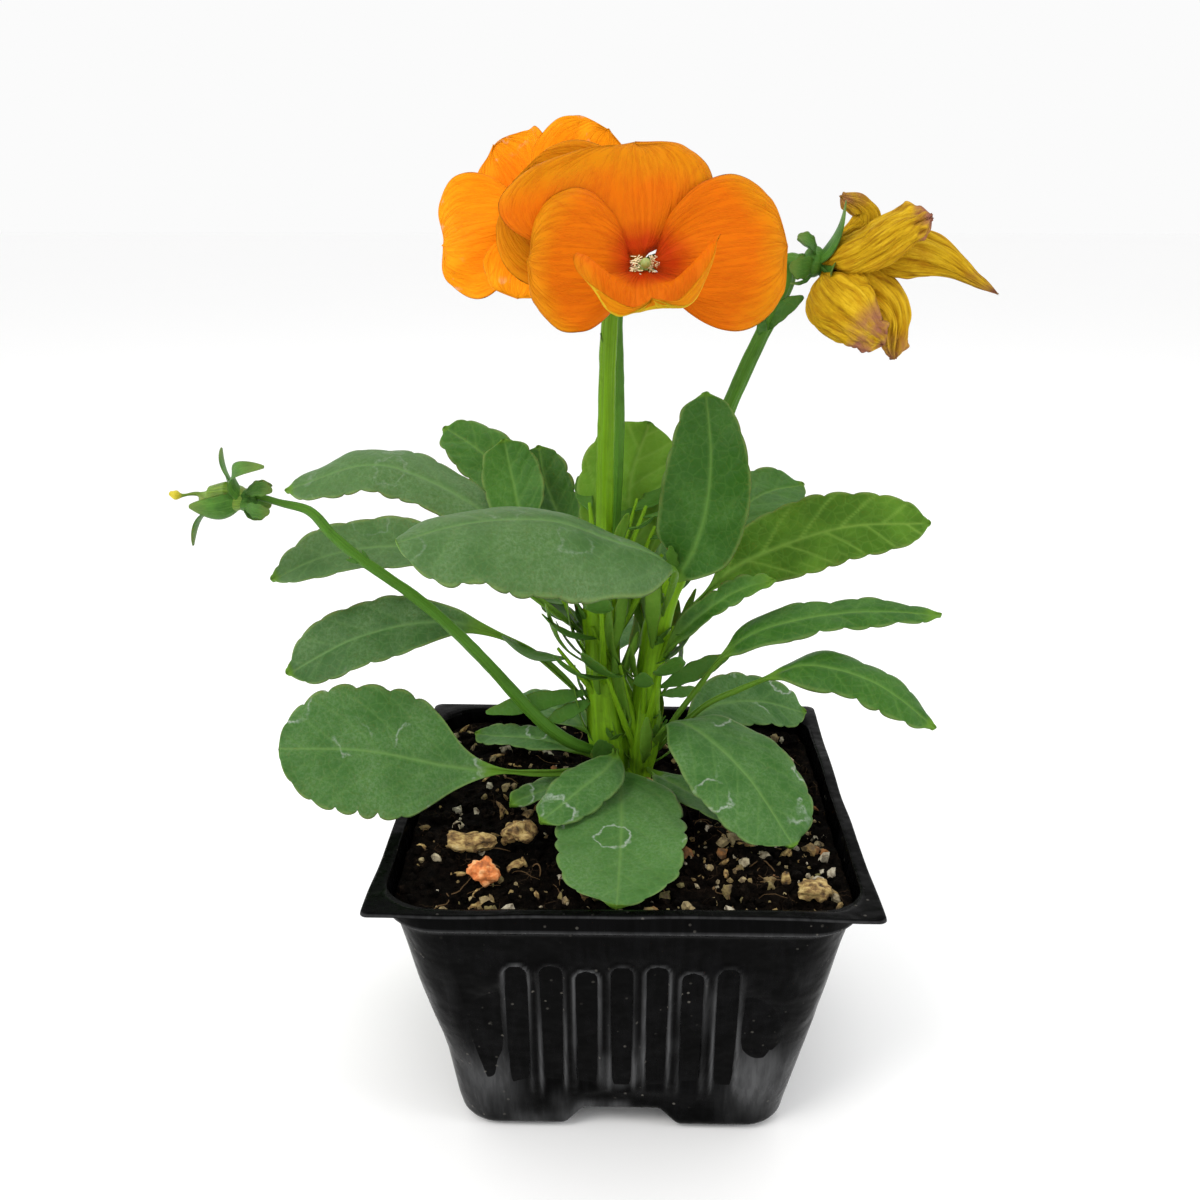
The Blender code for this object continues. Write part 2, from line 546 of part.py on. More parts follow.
# Each leaf leaves its stem at a height, passes through its points and ends at the last one.
LEAVES = {
    "leaf_saddle": dict(
        stem="stem_side",
        leaves_at=91.0,
        points=[
            (9.0, 1.0, 101.0),
            (6.5, -7.0, 107.5),
            (-10.0, -15.0, 115.5),
            (-25.0, -20.5, 118.0),
            (-38.5, -25.0, 115.5),
        ],
        face=(-0.05, -0.33, 0.94),
        half_width=13.0,
        stalk=0.27,
        cup=-0.55,
        belly=0.55,
    ),
    "leaf_arch_left": dict(
        stem="stem_main",
        leaves_at=88.0,
        points=[
            (-17.0, 18.0, 98.5),
            (-28.0, 22.0, 107.0),
            (-40.5, 25.5, 114.0),
            (-54.0, 28.0, 116.5),
            (-72.0, 30.0, 110.5),
        ],
        face=(0.05, -0.55, 0.85),
        half_width=7.0,
        stalk=0.34,
        cup=-0.2,
        belly=0.5,
    ),
    "leaf_behind_left": dict(
        stem="stem_main",
        leaves_at=84.0,
        points=[
            (-24.0, 14.0, 96.5),
            (-42.0, 11.5, 103.5),
            (-57.0, 8.0, 103.5),
            (-69.5, 6.0, 98.5),
        ],
        face=(-0.1, -0.6, 0.8),
        half_width=6.4,
        stalk=0.42,
        cup=0.25,
        belly=0.5,
    ),
    "leaf_mid_left": dict(
        stem="stem_main",
        leaves_at=69.0,
        points=[
            (-16.0, 11.6, 79.5),
            (-26.0, 11.0, 85.6),
            (-36.5, 9.5, 88.6),
            (-52.0, 6.5, 87.0),
            (-67.5, 4.0, 79.5),
        ],
        face=(-0.05, -0.7, 0.7),
        half_width=7.2,
        stalk=0.46,
        cup=0.12,
        belly=0.55,
    ),
    "leaf_low_left": dict(
        stem="stem_main",
        leaves_at=58.0,
        points=[
            (-12.0, 3.5, 58.4),
            (-22.0, -1.0, 60.8),
            (-34.5, -4.5, 63.6),
            (-50.0, -8.0, 68.6),
            (-65.5, -12.0, 70.6),
        ],
        face=(0.1, -0.76, 0.62),
        half_width=13.2,
        stalk=0.47,
        cup=0.08,
        belly=0.5,
    ),
    "leaf_top_left": dict(
        stem="stem_main",
        leaves_at=93.0,
        points=[
            (-15.5, 22.0, 101.5),
            (-23.0, 30.0, 110.5),
            (-31.0, 36.5, 117.5),
            (-39.5, 41.5, 122.0),
        ],
        face=(0.25, -0.75, 0.62),
        half_width=6.8,
        stalk=0.4,
        cup=0.1,
        belly=0.55,
    ),
    "leaf_top_middle": dict(
        stem="stem_main",
        leaves_at=97.0,
        points=[(-13.5, 17.0, 102.0), (-20.5, 20.0, 107.0), (-23.0, 23.5, 114.5), (-25.0, 27.0, 122.5)],
        face=(0.05, -0.95, 0.3),
        half_width=6.3,
        stalk=0.42,
        cup=0.15,
        belly=0.55,
    ),
    "leaf_top_inner": dict(
        stem="stem_main",
        leaves_at=98.5,
        points=[(-12.0, 22.5, 104.5), (-16.2, 29.4, 111.5), (-18.6, 35.0, 119.5)],
        face=(0.35, -0.85, 0.3),
        half_width=5.6,
        stalk=0.32,
        cup=0.3,
        belly=0.5,
    ),
    "leaf_tall_pale": dict(
        stem="stem_side",
        leaves_at=88.5,
        points=[
            (4.2, 19.5, 96.5),
            (1.6, 22.6, 104.0),
            (1.0, 25.0, 114.0),
            (5.0, 28.0, 126.0),
        ],
        face=(-0.1, -0.95, 0.3),
        half_width=10.8,
        stalk=0.3,
        cup=0.16,
        belly=0.5,
    ),
    "leaf_tall_dark": dict(
        stem="stem_side",
        leaves_at=98.0,
        points=[
            (13.0, 4.8, 105.0),
            (15.2, 3.0, 114.0),
            (15.8, 2.4, 124.0),
            (14.6, 3.4, 136.2),
        ],
        face=(-0.28, -0.95, 0.15),
        half_width=8.6,
        stalk=0.12,
        cup=0.32,
        belly=0.42,
    ),
    "leaf_right_pale": dict(
        stem="stem_side",
        leaves_at=83.0,
        points=[
            (17.0, 18.5, 92.5),
            (26.0, 22.0, 98.5),
            (44.0, 23.0, 105.0),
            (62.5, 22.0, 106.4),
        ],
        face=(-0.05, -0.85, 0.55),
        half_width=8.0,
        stalk=0.33,
        cup=0.1,
        belly=0.42,
    ),
    "leaf_right_behind": dict(
        stem="stem_side",
        leaves_at=85.0,
        points=[(12.5, 23.5, 95.0), (21.0, 32.0, 103.5), (30.0, 39.0, 108.5), (39.5, 45.0, 109.0)],
        face=(-0.3, -0.6, 0.8),
        half_width=8.2,
        stalk=0.36,
        cup=0.1,
        belly=0.5,
    ),
    "leaf_right_small": dict(
        stem="stem_side",
        leaves_at=80.0,
        points=[(12.0, 6.0, 89.5), (20.0, 3.0, 97.0), (28.5, 0.0, 101.2)],
        face=(-0.35, -0.65, 0.7),
        half_width=4.2,
        stalk=0.2,
        cup=0.18,
        belly=0.5,
    ),
    "leaf_right_long": dict(
        stem="stem_side",
        leaves_at=61.0,
        points=[
            (13.0, 7.0, 73.5),
            (21.5, 3.5, 86.5),
            (31.0, 1.5, 92.0),
            (45.0, 0.6, 94.6),
            (60.5, 0.0, 94.4),
        ],
        face=(-0.2, -0.42, 0.9),
        half_width=6.4,
        stalk=0.42,
        cup=-0.1,
        belly=0.34,
    ),
    "leaf_right_droop": dict(
        stem="stem_side",
        leaves_at=60.0,
        points=[
            (16.0, 7.0, 72.0),
            (26.0, -0.5, 80.5),
            (34.5, -5.5, 86.2),
            (46.0, -10.5, 85.0),
            (57.6, -14.0, 77.0),
        ],
        face=(0.2, -0.5, 0.85),
        half_width=6.6,
        stalk=0.5,
        cup=-0.25,
        belly=0.45,
    ),
    "leaf_back_right": dict(
        stem="stem_side",
        leaves_at=58.0,
        points=[
            (13.5, 21.0, 61.5),
            (21.0, 27.5, 63.5),
            (31.0, 32.5, 62.0),
            (41.5, 36.0, 58.0),
        ],
        face=(0.1, -0.5, 0.85),
        half_width=7.4,
        stalk=0.33,
        cup=0.1,
        belly=0.5,
    ),
    "leaf_front_right": dict(
        stem="stem_side",
        leaves_at=62.0,
        points=[
            (9.4, 5.0, 69.0),
            (14.0, -1.6, 71.0),
            (23.5, -11.5, 66.0),
            (31.5, -22.0, 56.5),
        ],
        face=(0.25, -0.5, 0.83),
        half_width=11.2,
        stalk=0.22,
        cup=-0.08,
        belly=0.58,
    ),
    "leaf_front_low": dict(
        stem="stem_main",
        leaves_at=57.0,
        points=[
            (-1.0, 4.0, 58.6),
            (-0.4, -5.0, 59.4),
            (-0.4, -21.0, 57.0),
            (-1.0, -39.0, 54.4),
        ],
        face=(0.0, -0.15, 1.0),
        half_width=12.4,
        stalk=0.16,
        cup=0.05,
        belly=0.52,
    ),
    "leaf_front_oval": dict(
        stem="stem_main",
        leaves_at=60.5,
        points=[
            (-1.6, 4.0, 63.2),
            (-3.2, -4.5, 63.6),
            (-9.0, -12.5, 62.4),
            (-15.5, -19.0, 59.5),
        ],
        face=(0.1, -0.4, 0.9),
        half_width=5.4,
        stalk=0.32,
        cup=-0.12,
        belly=0.5,
    ),
    "leaf_soil_right": dict(
        stem="stem_side",
        leaves_at=56.6,
        points=[(8.4, 3.5, 57.2), (14.5, -3.5, 56.8), (23.5, -11.5, 55.8)],
        face=(0.0, -0.1, 1.0),
        half_width=4.8,
        stalk=0.2,
        cup=0.08,
        belly=0.5,
    ),
    "leaf_soil_left": dict(
        stem="stem_main",
        leaves_at=56.8,
        points=[(-9.6, 6.0, 56.4), (-15.0, 1.0, 56.4), (-22.6, -4.6, 55.4)],
        face=(0.0, -0.3, 0.95),
        half_width=3.2,
        stalk=0.2,
        cup=0.12,
        belly=0.5,
    ),
    "leaf_soil_back": dict(
        stem="stem_main",
        leaves_at=57.4,
        points=[(-12.5, 16.0, 58.6), (-21.5, 20.6, 58.4), (-33.0, 26.5, 56.4)],
        face=(0.1, -0.35, 0.93),
        half_width=4.2,
        stalk=0.18,
        cup=0.1,
        belly=0.55,
    ),
    "leaf_soil_behind": dict(
        stem="stem_main",
        leaves_at=60.5,
        points=[(-11.0, 20.5, 63.0), (-19.0, 27.5, 63.2), (-28.0, 34.0, 59.6)],
        face=(0.1, -0.35, 0.93),
        half_width=5.0,
        stalk=0.18,
        cup=0.1,
        belly=0.5,
    ),
    "leaf_rear_low": dict(
        stem="stem_main",
        leaves_at=66.0,
        points=[(-3.4, 24.0, 73.0), (-2.0, 33.0, 77.5), (1.5, 43.5, 78.5), (4.0, 55.0, 73.0)],
        face=(0.0, 0.3, 0.95),
        half_width=8.0,
        stalk=0.36,
        cup=0.1,
        belly=0.5,
    ),
    "leaf_rear_high": dict(
        stem="stem_side",
        leaves_at=76.0,
        points=[(5.8, 22.0, 84.0), (7.0, 32.0, 92.5), (8.0, 43.0, 98.0), (8.0, 54.0, 96.5)],
        face=(0.0, 0.25, 0.95),
        half_width=7.6,
        stalk=0.4,
        cup=0.12,
        belly=0.5,
    ),
}


def make_leaf(name, spec, greens):
    start = surface_point(spec["stem"], spec["leaves_at"], spec["points"][0], SEAT)
    shape = {k: spec[k] for k in ("stalk", "cup", "belly", "steps") if k in spec}
    mat = greens["pale" if "pale" in name else "leaf"]
    points = [start, *spec["points"]]
    return sheet(name, points, spec["face"], spec["half_width"], LEAF_THICKNESS, mat, **shape)


class Flower:
    """The frame that a flower's pieces are placed in: its throat and the way it faces."""

    def __init__(self, throat, facing, roll=0.0):
        self.throat = Vector(throat)
        self.facing = Vector(facing).normalized()
        level = Vector((0, 0, 1)).cross(self.facing).normalized()
        turn = Matrix.Rotation(math.radians(roll), 3, self.facing)
        self.right = turn @ level
        self.up = turn @ self.facing.cross(level)

    def place(self, angle, radius, depth):
        """angle in degrees from the flower's right, anticlockwise to one who looks at its face."""
        turn = math.radians(angle)
        out = math.cos(turn) * self.right + math.sin(turn) * self.up
        return self.throat + radius * out + depth * self.facing


PISTIL_RADIUS = 0.9
HUB_DEPTH = -7.6  # the calyx sits this far behind the throat
HUB_LENGTH = 3.0


def make_petal(name, flower, spec, mat):
    """A petal from its claw beside the pistil, through its middle, to its outer edge."""
    start_depth, middle_depth, end_depth = spec["depths"]
    points = [
        flower.place(spec["angle"], PISTIL_RADIUS + SEAT, start_depth),
        flower.place(spec["angle"], 0.5 * spec["length"], middle_depth),
        flower.place(spec["angle"], spec["length"], end_depth),
    ]
    return sheet(
        name,
        points,
        flower.facing,
        spec["half_width"],
        PETAL_THICKNESS,
        mat,
        stalk_half=0.5,
        cup=spec.get("cup", 0.1),
        belly=spec.get("belly", 0.58),
        steps=10,
    )


def make_pistil(name, flower, mat):
    """Ovary, style and stigma, from the calyx hub forward to the throat."""
    back = flower.throat + flower.facing * (HUB_DEPTH + 0.9)
    front = flower.throat + flower.facing * 0.8
    path = [back.lerp(front, k / 5) for k in range(6)]
    # A small bow, since a style is never quite straight.
    for k, point in enumerate(path):
        point += flower.up * 0.12 * math.sin(math.pi * k / 5)
    return tube(name, path, (PISTIL_RADIUS, 0.7), mat, sides=6)


def make_calyx(name, flower, lobes, mat, hub_radius=1.9):
    """Five sepals on one hub. lobes holds each sepal's angle, reach and depth at its tip."""
    per_lobe = 4
    count = per_lobe * len(lobes)
    half_turn = 180.0 / len(lobes)
    front = []
    margin = []
    back = []
    for k in range(count):
        angle, reach, tip_depth = lobes[k // per_lobe]
        offset = (k % per_lobe - 0.5 * (per_lobe - 1)) / (0.5 * per_lobe)
        point_share = (1.0 - abs(offset)) ** 0.8
        radius = hub_radius + 0.7 + (reach - hub_radius) * point_share
        turn = angle + offset * half_turn * (1.0 - 0.45 * point_share)
        depth = HUB_DEPTH + (tip_depth - HUB_DEPTH) * point_share
        margin.append(flower.place(turn, radius, depth - 0.25))
        front.append(flower.place(turn, 0.5 * (radius + hub_radius * 0.4), 0.5 * (HUB_DEPTH + depth)))
        back.append(flower.place(turn, 0.5 * (radius + hub_radius), 0.5 * (HUB_DEPTH + depth) - 0.9))
    hub_end = []
    for k in range(count):
        angle = lobes[0][0] + (k - 0.5 * (per_lobe - 1)) * 360.0 / count
        hub_end.append(flower.place(angle, hub_radius * 0.6, HUB_DEPTH - HUB_LENGTH + 0.5))
    bm = bmesh.new()
    start = flower.place(0.0, 0.0, HUB_DEPTH + 0.15)
    end = flower.place(0.0, 0.0, HUB_DEPTH - HUB_LENGTH + 0.2)
    loft(bm, start, [front, margin, back, hub_end], end)
    return add_object(name, bm, mat)


def star(reach, depth, turn=90.0):
    """Five even lobes."""
    return [(turn + 72.0 * k, reach, depth) for k in range(5)]


FRONT = Flower(throat=(3.0, -12.0, 159.8), facing=(0.12, -0.97, 0.14))
BACK = Flower(throat=(-17.5, 22.0, 165.5), facing=(-0.42, -0.9, 0.1), roll=-4.0)
WITHERED = Flower(throat=(42.6, 11.2, 157.2), facing=(0.98, -0.1, -0.16))
SEED = Flower(throat=(-75.0, -3.8, 117.6), facing=(-0.995, -0.06, 0.1))

FRONT_PETALS = {
    "petal_upper_left": dict(
        angle=146, length=25.5, half_width=13.0, depths=(-4.6, -6.6, -8.6), belly=0.6
    ),
    "petal_upper_right": dict(
        angle=92, length=20.6, half_width=13.2, depths=(-3.2, -3.8, -5.4), belly=0.6
    ),
    "petal_side_left": dict(
        angle=177, length=21.0, half_width=13.4, depths=(-2.0, -1.2, -1.4), belly=0.55
    ),
    "petal_side_right": dict(
        angle=7, length=25.0, half_width=13.2, depths=(-2.0, -1.2, -1.4), belly=0.58
    ),
    "petal_lip": dict(
        angle=268, length=9.6, half_width=10.6, depths=(-0.6, 3.4, 8.4), belly=0.62
    ),
}

BACK_PETALS = {
    "back_petal_upper_left": dict(
        angle=138, length=20.0, half_width=10.5, depths=(-4.6, -6.4, -8.6), belly=0.6
    ),
    "back_petal_upper_right": dict(
        angle=58, length=20.5, half_width=10.5, depths=(-3.2, -3.8, -5.6), belly=0.6
    ),
    "back_petal_side_left": dict(
        angle=196, length=23.5, half_width=12.0, depths=(-2.0, -1.4, -2.0), belly=0.6
    ),
    "back_petal_side_right": dict(
        angle=-4, length=19.0, half_width=9.5, depths=(-2.0, -1.6, -3.0), belly=0.58
    ),
    "back_petal_lip": dict(
        angle=268, length=14.5, half_width=9.0, depths=(-0.6, 1.4, 3.0), belly=0.62
    ),
}

# The withered petals hang rolled up, so each is a narrow thick blade from the calyx outwards.
WITHERED_PETALS = {
    "withered_petal_main": dict(
        claw=172,
        points=[(42.6, 7.6, 161.0), (49.0, 6.4, 164.6), (54.0, 6.4, 166.6)],
        face=(-0.5, -0.6, 0.6),
        half_width=4.6,
        cup=-0.35,
    ),
    "withered_petal_top": dict(
        claw=88,
        points=[(38.4, 15.4, 163.2), (41.2, 15.4, 166.6), (39.2, 15.4, 170.2)],
        face=(-0.8, -0.5, 0.2),
        half_width=2.6,
        cup=-0.2,
    ),
    "withered_petal_far": dict(
        claw=25,
        points=[(46.0, 13.2, 160.4), (56.0, 11.0, 159.6), (67.4, 9.0, 153.2)],
        face=(-0.1, -0.9, 0.4),
        half_width=4.0,
        cup=-0.3,
    ),
    "withered_petal_near": dict(
        claw=228,
        points=[(38.2, 6.6, 152.2), (42.4, 4.4, 148.0), (46.4, 5.0, 144.6)],
        face=(-0.5, -0.8, 0.3),
        half_width=6.0,
        cup=-0.4,
    ),
    "withered_petal_lip": dict(
        claw=298,
        points=[(44.6, 10.6, 153.2), (49.0, 9.6, 149.0), (49.6, 9.0, 141.4)],
        face=(0.5, -0.8, 0.2),
        half_width=3.8,
        cup=-0.3,
    ),
}


def stalk_end(flower, lead):
    """The last points of a stalk: a bend, then the back of the calyx hub."""
    hub_back = HUB_DEPTH - HUB_LENGTH - SEAT - 0.4
    return [flower.place(0.0, 0.0, hub_back - lead), flower.place(0.0, 0.0, hub_back)]


def make_capsule(mat):
    """The seed capsule with its bent style, lying along the seed calyx's axis."""
    profile = [(1.3, 1.1), (3.2, 2.3), (6.0, 3.1), (9.0, 2.3), (10.8, 0.9), (13.0, 0.5), (15.2, 0.7)]
    rings = []
    for reach, radius in profile:
        droop = 0.25 * math.sin(0.5 * reach)
        middle = SEED.place(90.0, droop, HUB_DEPTH + reach)
        rings.append(circle(middle, SEED.right, SEED.up, radius, STEM_SIDES))
    bm = bmesh.new()
    start = SEED.place(0.0, 0.0, HUB_DEPTH + 0.7)
    end = SEED.place(90.0, 0.3, HUB_DEPTH + 16.2)
    loft(bm, start, rings, end)
    return add_object("seed_capsule", bm, mat)


def main():
    clear_scene()
    plastic = finish_material("black_plastic", (0.012, 0.013, 0.014), 0.35)
    peat = finish_material("potting_mix", (0.02, 0.014, 0.01), 0.95)
    bark = finish_material("bark", (0.35, 0.24, 0.13), 0.9)
    scrap = finish_material("dried_petal", (0.7, 0.25, 0.06), 0.8)
    stem = finish_material("stem_green", (0.13, 0.26, 0.035), 0.45)
    leaf = finish_material("leaf_green", (0.075, 0.19, 0.05), 0.55)
    pale = finish_material("leaf_pale_green", (0.16, 0.32, 0.05), 0.5)
    sepal = finish_material("sepal_green", (0.08, 0.2, 0.04), 0.5)
    orange = finish_material("petal_orange", (0.95, 0.3, 0.01), 0.5)
    gold = finish_material("petal_gold", (0.9, 0.36, 0.02), 0.5)
    withered = finish_material("petal_withered", (0.55, 0.33, 0.03), 0.7)
    heart = finish_material("pistil_cream", (0.6, 0.55, 0.2), 0.5)

    make_pot(plastic)
    make_soil(peat)
    for name, spec in CHIPS.items():
        make_chip(name, spec["middle"], spec["size"], spec["turn"], scrap if "scrap" in name else bark)

    crown_solid("crown", 0.0, stem)
    for name, spec in STEMS.items():
        tube(name, smooth_path(spec["points"], spec["steps"]), spec["radii"], stem)
    ends = {
        "stalk_front": stalk_end(FRONT, 2.0),
        "stalk_back": stalk_end(BACK, 2.0),
        "stalk_withered": stalk_end(WITHERED, 2.4),
        "stalk_seed": stalk_end(SEED, 4.0),
    }
    for name, spec in STALKS.items():
        make_stalk(name, spec, ends[name], stem)

    greens = {"leaf": leaf, "pale": pale}
    for name, spec in LEAVES.items():
        make_leaf(name, spec, greens)

    for name, spec in FRONT_PETALS.items():
        make_petal(name, FRONT, spec, orange)
    for name, spec in BACK_PETALS.items():
        make_petal(name, BACK, spec, gold)
    for name, spec in WITHERED_PETALS.items():
        claw = WITHERED.place(spec["claw"], 2.2, HUB_DEPTH + 1.1)
        sheet(
            name,
            [claw, *spec["points"]],
            spec["face"],
            spec["half_width"],
            1.6,
            withered,
            stalk_half=0.8,
            cup=spec["cup"],
            belly=0.5,
            steps=8,
        )

    make_pistil("pistil_front", FRONT, heart)
    make_pistil("pistil_back", BACK, heart)
    make_calyx("calyx_front", FRONT, star(8.5, -7.8), sepal)
    make_calyx("calyx_back", BACK, star(8.5, -7.8), sepal)
    make_calyx("calyx_withered", WITHERED, star(8.0, -6.0), sepal)
    make_calyx("calyx_seed", SEED, star(8.0, -2.0), sepal, hub_radius=2.4)
    make_capsule(sepal)


main()
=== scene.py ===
"""A pansy in a square nursery pot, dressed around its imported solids.

Every shape is measured from the solid that it stands for, and is in metres in the same frame:
origin under the middle of the pot, +Z up, -Y the side that the open flower faces.
"""

import math

import bpy
import numpy as np
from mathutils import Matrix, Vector


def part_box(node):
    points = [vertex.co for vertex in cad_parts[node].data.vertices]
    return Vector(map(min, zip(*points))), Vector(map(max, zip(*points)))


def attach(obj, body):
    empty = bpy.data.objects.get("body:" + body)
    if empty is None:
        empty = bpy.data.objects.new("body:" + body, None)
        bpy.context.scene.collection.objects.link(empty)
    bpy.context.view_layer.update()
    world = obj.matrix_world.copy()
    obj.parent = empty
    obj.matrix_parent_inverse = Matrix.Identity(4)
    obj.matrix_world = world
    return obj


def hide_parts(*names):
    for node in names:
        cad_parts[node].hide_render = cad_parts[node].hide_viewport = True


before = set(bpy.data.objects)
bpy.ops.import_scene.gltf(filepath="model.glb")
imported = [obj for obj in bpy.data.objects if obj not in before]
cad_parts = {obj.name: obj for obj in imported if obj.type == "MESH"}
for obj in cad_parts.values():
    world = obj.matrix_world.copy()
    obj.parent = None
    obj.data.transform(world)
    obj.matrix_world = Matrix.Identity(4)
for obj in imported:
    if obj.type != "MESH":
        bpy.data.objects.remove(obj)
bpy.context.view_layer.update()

MM = 0.001
UP = np.array([0.0, 0.0, 1.0])
SKYWARD = np.array([0.0, -0.3, 1.0])  # the upper side of every leaf looks roughly this way


# ------------------------------------------------------------------ arrays


def unit(vectors):
    """Vectors shortened to length one along the last axis."""
    return vectors / np.maximum(np.linalg.norm(vectors, axis=-1, keepdims=True), 1e-12)


def ease(x, low, high):
    """0 at low, 1 at high, flat beyond them, and the cubic 3t^2 - 2t^3 between them."""
    t = np.clip((x - low) / (high - low), 0.0, 1.0)
    return t * t * (3.0 - 2.0 * t)


def bell(x, width):
    """The bell curve exp(-(x / width)^2)."""
    return np.exp(-((x / width) ** 2))


def lattice(cells, seed):
    """A pseudo-random number from -1 to 1 for each whole-number cell."""
    mixed = cells[..., 0] * 73856093 ^ cells[..., 1] * 19349663 ^ cells[..., 2] * 83492791
    mixed = (mixed ^ (seed * 2654435761)) & 0x7FFFFFFF
    mixed = ((mixed ^ (mixed >> 13)) * 1274126177) & 0x7FFFFFFF
    mixed = ((mixed ^ (mixed >> 16)) * 668265263) & 0x7FFFFFFF
    return mixed / 0x3FFFFFFF - 1.0


def noise(points, size, seed=1, octaves=1):
    """Value noise: random numbers at the corners of cells this size, blended by the cubic
    ease across each cell. Each octave halves the cells and the strength."""
    total = np.zeros(points.shape[:-1])
    for octave in range(octaves):
        q = points * (2.0**octave / size)
        cell = np.floor(q).astype(np.int64)
        t = q - cell
        t = t * t * (3.0 - 2.0 * t)
        value = np.zeros(points.shape[:-1])
        for corner in np.ndindex(2, 2, 2):
            corner = np.array(corner)
            weight = np.where(corner == 1, t, 1.0 - t).prod(axis=-1)
            value += weight * lattice(cell + corner, seed + 31 * octave)
        total += value * 0.5**octave
    return total


def through(knots, values, t):
    """The cubic Hermite curve through values at knots, its slopes by central differences."""
    slopes = np.gradient(values, knots, axis=0)
    k = np.clip(np.searchsorted(knots, t) - 1, 0, len(knots) - 2)
    span = (knots[k + 1] - knots[k])[:, None]
    x = ((t - knots[k])[:, None]) / span
    from_a = values[k] * (1 + 2 * x) * (1 - x) ** 2 + slopes[k] * span * x * (1 - x) ** 2
    from_b = values[k + 1] * x**2 * (3 - 2 * x) - slopes[k + 1] * span * x**2 * (1 - x)
    return from_a + from_b


def arc_lengths(points):
    """Distance along a line of points, from 0 at its start."""
    steps = np.linalg.norm(np.diff(points, axis=0), axis=-1)
    return np.concatenate([[0.0], np.cumsum(steps)])


def headings(points):
    """The direction of a line at each of its points."""
    return unit(np.gradient(points, axis=0))


def square_to(ahead, towards):
    """The unit direction at a right angle to ahead that leans most towards the second one."""
    return unit(np.cross(np.cross(ahead, towards), ahead))


def round_the_clock(count):
    """Angles in even steps round a full turn."""
    return np.arange(count) * 2 * math.pi / count


def pushed(rings, line, amount):
    """Rings pushed away from their middle line by an amount at each point."""
    return rings + unit(rings - line[None, :, None]) * amount[..., None]


# ------------------------------------------------------------------ measuring the solids


def cad_mesh(node):
    """A solid's distinct corners, and its triangles as indices of them."""
    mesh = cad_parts[node].data
    corners = np.empty(len(mesh.vertices) * 3, np.float32)
    mesh.vertices.foreach_get("co", corners)
    corners = corners.reshape(-1, 3).astype(float)
    _, first, index = np.unique(
        np.round(corners * 1e6).astype(int), axis=0, return_index=True, return_inverse=True
    )
    mesh.calc_loop_triangles()
    tris = np.empty(len(mesh.loop_triangles) * 3, np.int32)
    mesh.loop_triangles.foreach_get("vertices", tris)
    return corners[first], index.reshape(-1)[tris.reshape(-1, 3)]


def edges_away(points, tris, start):
    """How many edges each corner is from the start corner."""
    level = np.full(len(points), -1)
    level[start] = 0
    step = 0
    while (level < 0).any():
        touched = tris[(level[tris] == step).any(axis=1)].ravel()
        step += 1
        level[touched[level[touched] < 0]] = step
    return level


def solid_rings(node, beside, sides=8):
    """The rings that a skinned solid was made of, and its two poles, starting at the pole
    nearest the points beside: each ring holds the corners at one number of edges from it."""
    points, tris = cad_mesh(node)
    away = np.linalg.norm(points[:, None] - np.atleast_2d(beside)[None], axis=-1).min(axis=1)
    for start in np.argsort(away):
        level = edges_away(points, tris, start)
        sizes = np.bincount(level)
        if sizes[-1] == 1 and (sizes[1:-1] == sides).all():
            break
    order = np.argsort(level, kind="stable")
    rings = points[order[1:-1]].reshape(-1, sides, 3)
    return rings, points[order[0]], points[order[-1]]


def solid_axis(node, beside, sides=8):
    """A round solid's middle line with its poles, and its radius there."""
    rings, start, end = solid_rings(node, beside, sides)
    middles = rings.mean(axis=1)
    radii = np.linalg.norm(rings - middles[:, None], axis=-1).mean(axis=1)
    line = np.concatenate([[start], middles, [end]])
    return line, np.concatenate([radii[:1], radii, radii[-1:]])


def solid_sheet(node, beside, upward):
    """A blade's middle line and two margins, poles included, with its upper side upward.
    The margins are each ring's farthest pair of corners. The cross-section is a parabola, so
    the mean of the other six lies a sixth of the way from the middle to the margins' mean."""
    rings, start, end = solid_rings(node, beside)
    count = len(rings)
    apart = np.linalg.norm(rings[:, :, None] - rings[:, None], axis=-1)
    pair = np.stack(np.unravel_index(apart.reshape(count, -1).argmax(axis=1), (8, 8)), -1)
    margins = np.take_along_axis(rings, pair[..., None], axis=1)
    across = margins[:, 1] - margins[:, 0]
    same = np.sign((across[1:] * across[:-1]).sum(axis=-1))
    flip = np.concatenate([[1.0], np.cumprod(same)])[:, None] < 0
    left = np.where(flip, margins[:, 1], margins[:, 0])
    right = np.where(flip, margins[:, 0], margins[:, 1])
    others = (rings.sum(axis=1) - left - right) / 6.0
    middle = (others - (left + right) / 12.0) * 1.2
    line = np.concatenate([[start], middle, [end]])
    left = np.concatenate([[start], left, [end]])
    right = np.concatenate([[start], right, [end]])
    lifted = np.cross(right - left, headings(line)).sum(axis=0)
    if lifted @ upward < 0:
        left, right = right, left
    return line, left, right


# ------------------------------------------------------------------ making meshes


